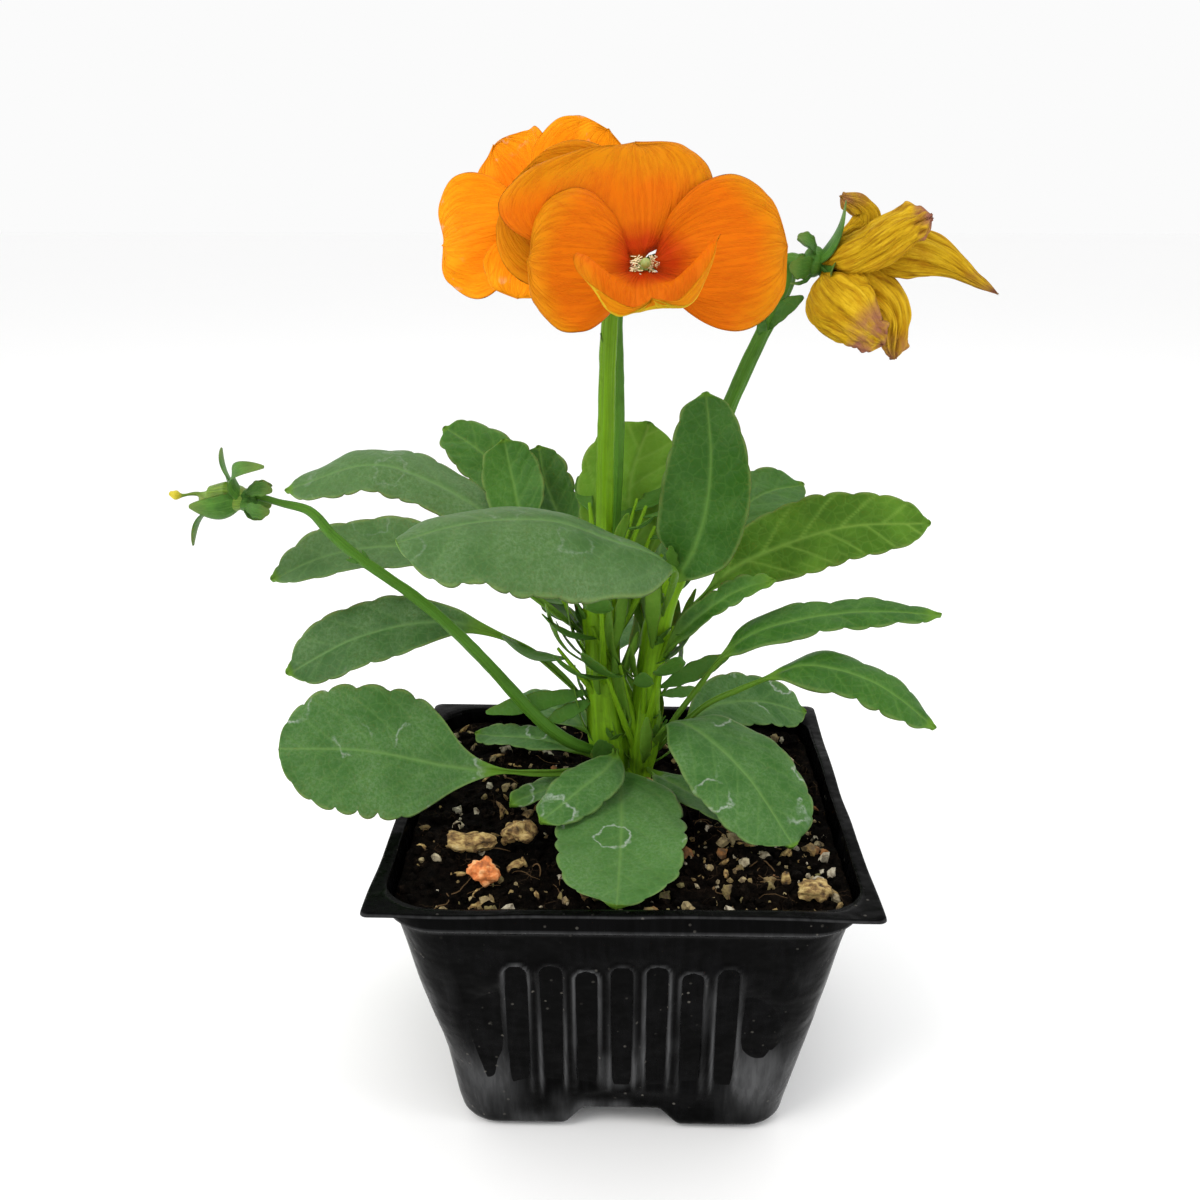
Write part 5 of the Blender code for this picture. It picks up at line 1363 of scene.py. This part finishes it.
def make_oval_leaflets():
    """A few small oval leaves low on the stems. Each leaves its stem at the height given
    first, runs to the offset given next, and is as wide as twice the last number."""
    bases, aims = [], []
    for stem, height, offset, _ in OVAL_LEAFLETS:
        fine = fine_line(*stem_lines[stem], 80)[0]
        start = fine[np.argmin(np.abs(fine[:, 2] - height * MM))]
        aim = np.array(offset) * MM
        bases.append(start + unit(aim * (1, 1, 0)) * 2.6 * MM)
        aims.append(aim)
    base, aim = np.array(bases), np.array(aims)
    up = square_to(aim, unit(np.array([0.0, -1.0, 0.7])))
    half = np.array([row[3] for row in OVAL_LEAFLETS]) * MM
    made = blades(base, base + aim, up, half, 0.1 * half, 0.45 * MM, 24, 6, 0.56, 0.14)
    blade_piece("oval_leaflets", made, LEAF, "leaf_green", vein=0.1, tone=0.7)


def make_side_shoots():
    """Thick young leaf stalks that leave both stems below the lowest big leaf, each a line
    that starts outwards and bends upwards as the square of its length, and ends in a blade."""
    n = 22
    pick = rng.integers(10, 130, n)
    start = stem_fine[pick]
    angle = np.linspace(0.0, 2 * math.pi, n, endpoint=False) + rng.uniform(-0.3, 0.3, n)
    out = np.column_stack([np.cos(angle), 0.75 * np.sin(angle), np.zeros(n)])
    length = rng.uniform(13.0, 27.0, (n, 1)) * MM
    length = np.minimum(length, (110 * MM - start[:, 2:]) * 1.05).clip(7 * MM)
    steep = rng.uniform(1.0, 2.2, (n, 1))
    t = np.linspace(0.0, 1.0, 12)[None, :, None]
    aim = unit(out + UP * steep)
    lines = start[:, None] + aim[:, None] * length[:, None] * t
    lines += UP * 0.14 * length[:, None] * t**2
    radii = np.linspace(1.0, 0.28, 12) * rng.uniform(0.75, 1.25, (n, 1)) * MM
    rings, starts, ends = tubes(lines, radii, 12, rib(0.12, 3))
    marks = {"age": np.full(n * (12 * 12 + 2), 0.15)}
    add_piece("side_shoots", skins(rings, starts, ends), STEM, marks=marks)
    base = lines[:, -2]
    heading = unit(lines[:, -1] - lines[:, -3] + out * 0.3 * length)
    tip = base + heading * length * rng.uniform(0.5, 0.8, (n, 1))
    tip[:, 2] = np.minimum(tip[:, 2], 118 * MM)
    up = square_to(heading, -out)
    half = rng.uniform(0.1, 0.17, n) * length[:, 0]
    made = blades(base, tip, up, half, -0.08 * length[:, 0], 0.4 * MM, 20, 5, 0.55, 0.12)
    blade_piece("shoot_blades", made, LEAF, "leaf_green", vein=0.15, stalk=0.1)


def make_bracteoles():
    """The leafy bracts on the nodding stalk, and a pair of tiny ones on each other stalk."""
    base = fine_line(*stalk_lines["stalk_withered"], 60)[0][[44, 47, 43]]
    aim = unit(np.array([[0.75, -0.5, 0.75], [0.5, 0.45, 0.9], [-0.15, -0.7, 0.75]]))
    reach = np.array([[10.5], [8.0], [6.5]]) * MM
    up = unit(np.array([[-0.5, -0.75, 0.4], [-0.6, 0.5, 0.4], [0.2, -0.8, -0.3]]))
    half = np.array([2.0, 1.6, 1.1]) * MM
    small_base, small_aim = [], []
    for name in ("stalk_front", "stalk_back", "stalk_seed"):
        points = fine_line(*stalk_lines[name], 60)[0]
        ahead = unit(points[45] - points[43])
        aside = unit(np.cross(ahead, [0.3, -0.9, 0.2]))
        small_base += [points[44], points[45]]
        small_aim += [unit(ahead + aside * 0.5), unit(ahead - aside * 0.5)]
    base = np.concatenate([base, small_base])
    aim = np.concatenate([aim, small_aim])
    reach = np.concatenate([reach, np.full((6, 1), 3.6 * MM)])
    up = np.concatenate([up, square_to(small_aim, [0.1, -1.0, 0.2])])
    half = np.concatenate([half, np.full(6, 0.5 * MM)])
    bow = 0.1 * reach[:, 0]
    made = blades(base, base + aim * reach, up, half, bow, 0.45 * MM, 20, 5, 0.5, 0.1)
    blade_piece("bracteoles", made, LEAF, "leaf_green", vein=0.1)


make_stipules()
make_young_leaves()
make_side_shoots()
make_oval_leaflets()
make_bracteoles()


# ------------------------------------------------------------------ flowers


def make_calyx(name, stalk, form, seed):
    """Five sepals and their blunt ears on a hub. The solid's widest ring has four corners to
    a sepal, the middle two of them longest, which gives each sepal's direction and reach. The
    form gives, from the uppermost sepal to the lowest, how far each tip lies out from the
    hub's axis and along it, its half width and its bow, and then the same for the ears. Turn
    sets how many degrees the uppermost sepal is from straight up, and hub the knob's radius."""
    rings, back, front = solid_rings(name, stalk_lines[stalk][0][-1], 20)
    axis = unit(front - back)
    margin = rings[2]
    out = margin - back
    out = out - (out @ axis)[:, None] * axis
    across = unit(out[0])
    rise = np.cross(axis, across)
    order = np.argsort(np.arctan2(out @ rise, out @ across))
    margin = margin[order]
    reach = np.linalg.norm(out, axis=-1)[order]
    sums = [np.roll(reach, -k).reshape(5, 4)[:, 1:3].sum() for k in range(4)]
    margin = np.roll(margin, -int(np.argmax(sums)), axis=0).reshape(5, 4, 3)
    tips = margin[:, 1:3].mean(axis=1)
    hub = back + axis * ((front - back) @ axis * 0.7 + form["ahead"] * MM)
    spoke = tips - hub
    spoke = unit(spoke - (spoke @ axis)[:, None] * axis)
    if form["turn"] is not None:
        plumb = unit(UP - (UP @ axis) * axis)
        level = np.cross(axis, plumb)
        angle = np.arctan2(spoke @ level, spoke @ plumb)
        angle = angle - angle[spoke[:, 2].argmax()] + math.radians(form["turn"])
        spoke = np.outer(np.cos(angle), plumb) + np.outer(np.sin(angle), level)
    spoke = spoke[np.argsort(-spoke[:, 2])]
    draw = np.random.default_rng(seed)

    def lobe_set(root, rows, thick, belly, lobes):
        """One lobe on each spoke, from root mm out, with the form's four rows of sizes."""
        outward, along, half, bow = (np.array(row)[:, None] * MM for row in rows)
        base = hub + spoke * root * MM
        sway = draw.uniform(-0.12, 0.12, (5, 1)) * outward
        tip = hub + spoke * outward + axis * along + np.cross(axis, spoke) * sway
        normal = square_to(tip - base, axis)
        return blades(base, tip, normal, half[:, 0], bow[:, 0], thick * MM, 24, 6, belly, lobes)

    sepals = lobe_set(0.7, form["sepals"], 0.5, 0.36, 0.0)
    ears = lobe_set(0.9, form["ears"], 0.6, 0.62, 0.16)
    both = [np.concatenate([a, b]) for a, b in zip(sepals, ears)]
    blade_piece(f"{name}_sepals", both, SEPAL, "sepal_green", [name])
    line = np.stack([hub + axis * k * 0.25 * MM for k in range(-9, 7)])
    radius = form["hub"] * MM * np.sqrt(np.clip(1 - np.linspace(-0.8, 0.9, 16) ** 2, 0.02, 1))
    knob, start, end = tubes(line[None], radius[None], 30, rib(0.08, 5))
    marks = {"tip": np.zeros(knob.shape[1] * knob.shape[2] + 2)}
    add_piece(f"{name}_hub", skins(knob, start, end), SEPAL, marks=marks)
    return back, front, axis


OPEN_CALYX = {
    "ahead": 0.0,
    "turn": None,
    "hub": 2.0,
    "sepals": (
        [8.2, 7.6, 8.6, 7.8, 8.4],
        [1.6, 1.2, 1.8, 1.4, 1.6],
        [1.5, 1.7, 1.4, 1.6, 1.5],
        [1.1, 1.1, 1.1, 1.1, 1.1],
    ),
    "ears": (
        [3.0, 2.6, 3.2, 2.8, 3.0],
        [-3.2, -2.6, -3.6, -2.8, -3.2],
        [1.3, 1.0, 1.4, 1.1, 1.2],
        [0.4, 0.4, 0.4, 0.4, 0.4],
    ),
}
NODDING_CALYX = {
    "ahead": 0.3,
    "turn": 30.0,
    "hub": 2.7,
    "sepals": (
        [12.4, 8.2, 6.4, 7.4, 7.6],
        [2.6, 4.4, 2.6, 5.0, 3.4],
        [3.5, 3.0, 2.5, 2.8, 2.6],
        [1.0, 1.8, 1.4, 1.8, 1.6],
    ),
    "ears": (
        [4.8, 4.3, 4.6, 4.1, 4.4],
        [-4.4, -4.2, -4.8, -4.0, -3.8],
        [2.3, 2.1, 2.4, 2.0, 2.2],
        [0.9, 0.9, 0.9, 0.9, 0.9],
    ),
}
SEED_CALYX = {
    "ahead": 3.6,
    "turn": -34.0,
    "hub": 2.0,
    "sepals": (
        [10.0, 10.0, 3.6, 3.6, 9.8],
        [-5.0, 5.4, 9.0, 9.0, 9.2],
        [2.3, 3.4, 2.9, 2.7, 3.4],
        [3.8, 1.0, -1.7, -1.5, 3.0],
    ),
    "ears": (
        [3.0, 3.3, 2.8, 3.0, 3.4],
        [-5.6, -4.8, -5.4, -4.6, -3.6],
        [2.0, 1.7, 2.0, 1.6, 1.4],
        [0.9, 0.9, 0.9, 0.9, 0.9],
    ),
}
calyxes = {
    kind: make_calyx(f"calyx_{kind}", f"stalk_{kind}", form, seed)
    for kind, form, seed in (
        ("front", OPEN_CALYX, 51),
        ("back", OPEN_CALYX, 52),
        ("withered", NODDING_CALYX, 53),
        ("seed", SEED_CALYX, 54),
    )
}


def rolled(to_rim, depth, radius):
    """A margin rolled round an arc: from depth inside the rim the sheet follows a circle of
    this radius, so it draws in by x - r sin(x/r) and rises by r (1 - cos(x/r))."""
    x = np.maximum(depth - to_rim, 0.0)
    return x - radius * np.sin(x / radius), radius * (1.0 - np.cos(x / radius))


def make_petal(
    node, kind, look, slot, seed,
    ruffle=1.0, curl=0.0, folds=0.8, recurve=0.6, grow=1.0, wings=(0.0, 0.0), raised=(0.0, 0.0),
    near=0.0, paler=0.0, lobed=0.0,
):
    """A petal from its claw to its rim. Across it, a point is the middle line plus s half
    widths on the measured parabola. The rim is ruffled by sines in s that grow outwards,
    folds run out from the claw, recurve bends the rim back and curl rolls it forward. Grow
    scales it about its claw, wings is width added to each side as a share of the greatest
    half width, raised lifts each side by so many mm, near brings it towards the flower's face
    as it runs out, lobed drops the rim halfway out on each side by so many mm, and paler
    brings the rim's colour further in."""
    pistil = pistil_lines[kind]
    axis = calyxes[kind][2]
    measured = solid_sheet(node, pistil, axis)
    claw = measured[0][0]
    measured = [claw + (line - claw) * grow for line in measured]
    middle, left, right, ahead, up, t, share = blade_rows(measured, 0.34 * MM, gather=1.7)
    cols = 57
    s = np.linspace(-1.0, 1.0, cols)[None]
    u = share[:, None]
    half = np.linalg.norm(right - left, axis=-1)[:, None] / 2
    length = t[-1]
    spot = np.stack([s * 3 + 0 * u, u * 3 + 0 * s, np.full(s.shape, seed * 1.7) + 0 * u], -1)
    uneven = noise(spot, 1.0, seed=seed, octaves=2)
    at = s * (1.0 + 0.03 * uneven * np.abs(s))
    added = np.where(s < 0, -wings[0], wings[1]) * half.max() * ease(np.abs(s), 0.0, 0.8)
    added = added * np.sin(math.pi * u**0.55) ** 0.8
    surface = middle[:, None] + ((right - left) / 2)[:, None] * at[..., None]
    surface += ((left + right) / 2 - middle)[:, None] * (s**2)[..., None]
    surface += unit(right - left)[:, None] * added[..., None]
    surface += (ahead[:, None] * (uneven * 0.55 * MM * u**2)[..., None])
    lateral = s * half / half.max()
    hoist = raised[0] * ease(-lateral, 0.1, 0.85) + raised[1] * ease(lateral, 0.1, 0.85)
    hoist = hoist * ease(u, 0.1, 0.45) * (1.0 - 0.55 * ease(u, 0.5, 0.95))
    hoist = hoist - lobed * bell(np.abs(lateral) - 0.5, 0.28) * ease(u, 0.45, 0.95)
    surface += UP * (hoist * MM)[..., None]
    surface += axis * (near * MM * ease(u, 0.1, 0.6))[..., None]

    outward = np.hypot(u * 0.95, np.abs(s) * u**0.6 * 0.9)
    rim = ease(np.maximum(u, np.abs(s) ** 1.5 * (0.35 + 0.65 * u)), 0.72, 1.0)
    fan = np.arctan2(s * half, (u + 0.02) * length)
    ruffles = np.sin(6.5 * fan + seed) + 0.5 * np.sin(13.0 * fan + 2.3 * seed)
    lift = 0.6 * MM * ruffle * ruffles * ease(outward, 0.45, 1.05)
    creases = np.sin(5.0 * fan + 1.3 * seed) * np.sin(math.pi * np.clip(u, 0, 1)) ** 0.8
    lift += 0.5 * MM * folds * creases
    lift += 0.6 * MM * noise(surface, 10 * MM, seed=seed + 40) * u
    grooved = np.abs(np.sin(fan * 21.0 + 0.6 * uneven)) ** 0.5
    relief = 0.06 * MM * grooved * ease(u, 0.05, 0.3)
    thin = 0.11 * MM * np.sqrt(np.maximum(1.0 - s**8, 0.0))
    thin = thin + 0.25 * MM * bell(u, 0.12) * (1 - s**2)
    heart = middle[int(len(middle) * 0.6)]
    inward = unit(heart - surface)
    to_rim = np.minimum(half * (1.0 - np.abs(s)), length * (1.0 - u) * 1.1 + 0.0 * s)
    turned, dropped = rolled(to_rim, 4.2 * MM * recurve, 5.0 * MM)
    margin = 3.0 * MM * curl * ease(u, 0.25, 0.6) * (1.0 - 0.6 * ease(lateral, 0.5, 1.0))
    back, forward = rolled(to_rim, margin, 1.3 * MM)
    lift = lift - dropped + forward
    inward = inward * (turned + back)[..., None]
    top = surface + inward + up[:, None] * (lift + thin + relief)[..., None]
    low = surface + inward + up[:, None] * (lift - thin + relief)[..., None]
    low = np.where((np.abs(s) > 0.999)[..., None], top, low)

    branch = np.abs(np.sin(fan * 10.5 + 0.35 * uneven))
    twigs = np.abs(np.sin(fan * 21.0 + 0.5 * uneven)) / ease(u, 0.15, 0.75).clip(0.05)
    veins = np.clip(bell(branch, 0.13) + 0.7 * bell(twigs, 0.14), 0, 1) * (1.0 - 0.75 * rim)
    reach = np.clip(outward + paler * ease(u, 0.1, 0.5), 0, 1)
    marks = sheet_marks({"vein": veins, "rim": rim, "reach": reach})
    start = measured[0][0] - ahead[0] * 0.5 * MM
    tip = 0.5 * (top[-1].mean(axis=0) + low[-1].mean(axis=0)) + ahead[-1] * 0.2 * MM
    shape = sheet_skin(top, low, start, tip)
    add_piece(f"{node}_velvet", shape, look, [node], marks)


pistil_lines = {
    kind: solid_axis(f"pistil_{kind}", calyxes[kind][0], 6)[0] for kind in ("front", "back")
}

FRONT_PETALS = {
    "petal_upper_left": dict(ruffle=0.4, folds=0.7, recurve=0.5, near=-0.9, paler=0.14),
    "petal_upper_right": dict(
        ruffle=0.6, folds=0.9, recurve=0.8, wings=(0.92, 0.0), near=0.1, paler=0.14
    ),
    "petal_side_left": dict(ruffle=0.5, folds=0.8, recurve=1.1, grow=0.94),
    "petal_side_right": dict(ruffle=0.9, folds=1.8, recurve=0.9),
    "petal_lip": dict(
        ruffle=0.8, folds=0.8, recurve=0.0, curl=1.1, wings=(0.24, 0.2),
        raised=(8.5, 4.8), lobed=1.7,
    ),
}
BACK_PETALS = {
    "back_petal_upper_left": dict(ruffle=1.8, folds=2.6, recurve=0.3),
    "back_petal_upper_right": dict(ruffle=2.1, folds=2.2, recurve=0.2),
    "back_petal_side_left": dict(ruffle=1.6, folds=2.6, recurve=0.5),
    "back_petal_side_right": dict(ruffle=1.2, folds=1.2, recurve=0.4),
    "back_petal_lip": dict(ruffle=1.2, folds=1.2, recurve=0.3),
}
for index, (petal_node, petal_form) in enumerate(FRONT_PETALS.items()):
    make_petal(petal_node, "front", ORANGE, "petal_orange", 61 + index, **petal_form)
for index, (petal_node, petal_form) in enumerate(BACK_PETALS.items()):
    make_petal(petal_node, "back", GOLD, "petal_gold", 71 + index, **petal_form)


def make_pistil(kind, seed):
    """Ovary, waist and rounded stigma on the measured line, with a beard of club hairs on
    both sides of the throat."""
    line = pistil_lines[kind]
    ahead = unit(line[-1] - line[0])
    knots = arc_lengths(line)
    t = np.linspace(0.0, knots[-1], 48)
    fine = through(knots, line, t)
    x = t / t[-1]
    radius = (0.5 + 0.9 * bell(x - 0.22, 0.2) + 0.38 * bell(x - 0.95, 0.07)) * MM
    rings, starts, ends = tubes(fine[None], radius[None], 24)
    shape = skins(rings, starts, ends)
    add_piece(f"pistil_{kind}_style", shape, PISTIL, [f"pistil_{kind}"])
    draw = np.random.default_rng(seed)
    n = 90
    level = unit(np.cross(UP, ahead))
    rise = np.cross(ahead, level)
    side = np.where(np.arange(n) % 2 == 0, -1.0, 1.0)[:, None]

    def spread(low, high):
        """A random number for each hair."""
        return draw.uniform(low, high, (n, 1))

    base = line[-1] + side * level * spread(1.1, 2.4) * MM
    base += rise * spread(-1.5, 1.3) * MM - ahead * spread(1.4, 2.4) * MM
    aim = unit(-side * level * spread(0.1, 0.9) + ahead + rise * spread(-0.5, 0.5))
    step = np.linspace(0.0, 1.0, 5)[None, :, None] * draw.uniform(0.8, 1.7, (n, 1, 1)) * MM
    lines = base[:, None] + aim[:, None] * step
    radii = np.tile(np.array([0.07, 0.06, 0.06, 0.09, 0.1]) * MM, (n, 1))
    add_piece(f"beard_{kind}", skins(*tubes(lines, radii, 5)), HAIR)


make_pistil("front", 81)
make_pistil("back", 82)


def make_rolled_petal(node, seed, plump, twist, widen, taper, sway=0.0, browned=0.76, frayed=0.5):
    """A withered petal rolled up on itself. Each ring is an ellipse with sharp wrinkles in it:
    the radius is one plus sines of the angle whose phase drifts along the roll, less a groove
    where the outer edge overlaps. The whole ring turns by twist from end to end. Sway bows
    the roll sideways by so many mm, it is brown past the share browned, and its tip is
    crumpled by a fine noise as strong as frayed."""
    measured = solid_sheet(node, calyxes["withered"][1], -calyxes["withered"][2])
    middle, left, right, ahead, up, _, share = blade_rows(measured, 0.24 * MM, gather=1.4)
    half = np.linalg.norm(right - left, axis=-1) / 2
    half = np.maximum(half, 0.5 * MM) * (0.9 + 0.1 * np.sin(5 * share + seed))
    half = half * widen * (1.0 - taper * ease(share, 0.35, 1.0))
    across = unit(right - left)
    cols = 96
    angle = np.arange(cols)[None] * 2 * math.pi / cols
    u = share[:, None]
    middle = middle + np.array([sway * MM, 0.0, 0.0]) * np.sin(math.pi * u**0.8)
    spot = np.stack([np.cos(angle) + 0 * u, np.sin(angle) + 0 * u, u * 2.2 + seed + 0 * angle], -1)
    crumple = noise(spot, 0.55, seed=seed, octaves=3)
    ridges = np.abs(np.sin(5.0 * angle + 2.0 * u + seed + 0.8 * crumple))
    small = np.abs(np.sin(13.0 * angle - 3.0 * u + 1.5 * crumple))
    radius = 0.82 + 0.13 * ridges + 0.05 * small + 0.12 * crumple
    gap = np.angle(np.exp(1j * (angle - 4.4 - 0.8 * u)))
    radius = radius - 0.34 * bell(gap, 0.16) + 0.12 * bell(gap - 0.42, 0.22)
    ragged = noise(spot, 0.22, seed=seed + 5, octaves=2) + 0.4 * np.sin(9.0 * angle + seed)
    radius = radius + frayed * ragged * ease(u, 0.7, 0.95)
    spin = angle + twist * u
    wide = half[:, None] * radius
    flat = (plump * half * (1.0 - 0.35 * share) + 0.35 * MM)[:, None] * radius
    rings = middle[:, None] + across[:, None] * (wide * np.cos(spin))[..., None]
    rings = rings + up[:, None] * (flat * np.sin(spin))[..., None]
    rings += ahead[:, None] * (0.5 * MM * crumple * ease(u, 0.6, 1.0))[..., None]
    tip = np.broadcast_to(ease(u, browned, browned + 0.24), wide.shape)
    marks = {"tip": on_points(tip, 1)}
    start = measured[0][0] - ahead[0] * 0.8 * MM
    shape = skins(rings[None], start[None], measured[0][-1][None])
    add_piece(f"{node}_rolled", shape, WITHERED, [node], marks)


ROLLED_PETALS = {
    "withered_petal_main": dict(seed=91, plump=0.8, twist=0.9, widen=1.2, taper=0.1, browned=0.72),
    "withered_petal_top": dict(
        seed=92, plump=0.9, twist=0.6, widen=1.5, taper=0.3, sway=4.2, frayed=0.2
    ),
    "withered_petal_far": dict(seed=93, plump=0.6, twist=-0.6, widen=1.3, taper=0.75, frayed=0.15),
    "withered_petal_near": dict(
        seed=94, plump=0.7, twist=0.5, widen=1.05, taper=0.2, browned=0.55
    ),
    "withered_petal_lip": dict(seed=95, plump=0.8, twist=-0.8, widen=1.45, taper=0.25),
}
for rolled_node, rolled_form in ROLLED_PETALS.items():
    make_rolled_petal(rolled_node, **rolled_form)


def make_capsule():
    """The seed capsule: three soft seams run along it, and a thin bent style with a knob of a
    stigma stays on its end."""
    line, radii = solid_axis("seed_capsule", calyxes["seed"][1])
    fine, radius, along = fine_line(line, radii, 90)
    whole = along / along[-1]
    slim = ease(whole, 0.55, 0.68)
    knob = bell(whole - 0.93, 0.05) * 0.55 * MM
    radius = radius * (0.97 + 0.03 * slim) * (1.0 - 0.5 * slim) + knob
    fine = fine + UP[None] * (0.5 * MM * np.sin(12.0 * whole) * slim)[:, None]
    seams = ease(radius, 1.0 * MM, 2.4 * MM)[None, :, None]
    rings, starts, ends = tubes(fine[None], radius[None], 48)
    angle = np.arange(48) * 2 * math.pi / 48
    dip = 0.3 * MM * bell(np.angle(np.exp(3j * angle)), 0.5) * seams
    rings = pushed(rings, fine, -dip)
    end = np.broadcast_to(ease(whole, 0.84, 0.9)[:, None], rings.shape[1:3])
    marks = {"ripe": on_points(end, 1)}
    shape = skins(rings, starts, ends)
    add_piece("capsule_seamed", shape, CAPSULE, ["seed_capsule"], marks)


make_capsule()


# ------------------------------------------------------------------ floor, light, camera


def make_stage():
    """The floor, a large flat square."""
    mesh = bpy.data.meshes.new("floor")
    far = 4.0
    corners = [(-far, -far, 0.0), (far, -far, 0.0), (far, far, 0.0), (-far, far, 0.0)]
    mesh.from_pydata(corners, [], [(0, 1, 2, 3)])
    mesh.materials.append(floor_look())
    floor = bpy.data.objects.new("floor", mesh)
    bpy.context.scene.collection.objects.link(floor)


def add_softbox(name, place, size, energy, colour):
    """A square lamp aimed at the middle of the plant."""
    data = bpy.data.lights.new(name, "AREA")
    data.shape = "SQUARE"
    data.size = size
    data.energy = energy
    data.color = colour
    lamp = bpy.data.objects.new(name, data)
    lamp.location = place
    aim = Vector((0.0, 0.0, 0.09)) - lamp.location
    lamp.rotation_euler = aim.to_track_quat("-Z", "Y").to_euler()
    bpy.context.scene.collection.objects.link(lamp)


def add_sky():
    """An even white surrounding light."""
    world = bpy.data.worlds.new("studio")
    world.use_nodes = True
    sky = world.node_tree.nodes["Background"]
    sky.inputs["Color"].default_value = (1.0, 1.0, 1.0, 1.0)
    sky.inputs["Strength"].default_value = 0.965
    bpy.context.scene.world = world


def add_camera():
    """It looks down at 18.8 degrees from in front, turned 1.2 degrees to the left."""
    data = bpy.data.cameras.new("camera")
    data.sensor_width = 36.0
    data.lens = 37.26
    data.clip_start = 0.01
    camera = bpy.data.objects.new("camera", data)
    camera.location = (0.0, -0.2245, 0.1733)
    tilt, turn = 18.8, 1.2
    camera.rotation_euler = (math.radians(90 - tilt), 0.0, math.radians(turn))
    bpy.context.scene.collection.objects.link(camera)
    bpy.context.scene.camera = camera


make_stage()
for lamp_form in (
    ("key", (-0.4, -0.45, 0.7), 0.3, 2.5, (1.0, 0.98, 0.95)),
    ("fill", (0.6, -0.25, 0.3), 0.2, 1.0, (0.97, 0.98, 1.0)),
    ("side", (-0.6, -0.1, 0.16), 0.2, 0.8, (1.0, 1.0, 1.0)),
    ("top", (0.1, 0.3, 0.8), 0.4, 1.2, (1.0, 1.0, 1.0)),
):
    add_softbox(*lamp_form)
add_sky()
add_camera()
bpy.context.scene.view_settings.view_transform = "Standard"


def plain(corners):
    """Two corners as plain lists of numbers."""
    return [[float(value) for value in corner] for corner in corners]
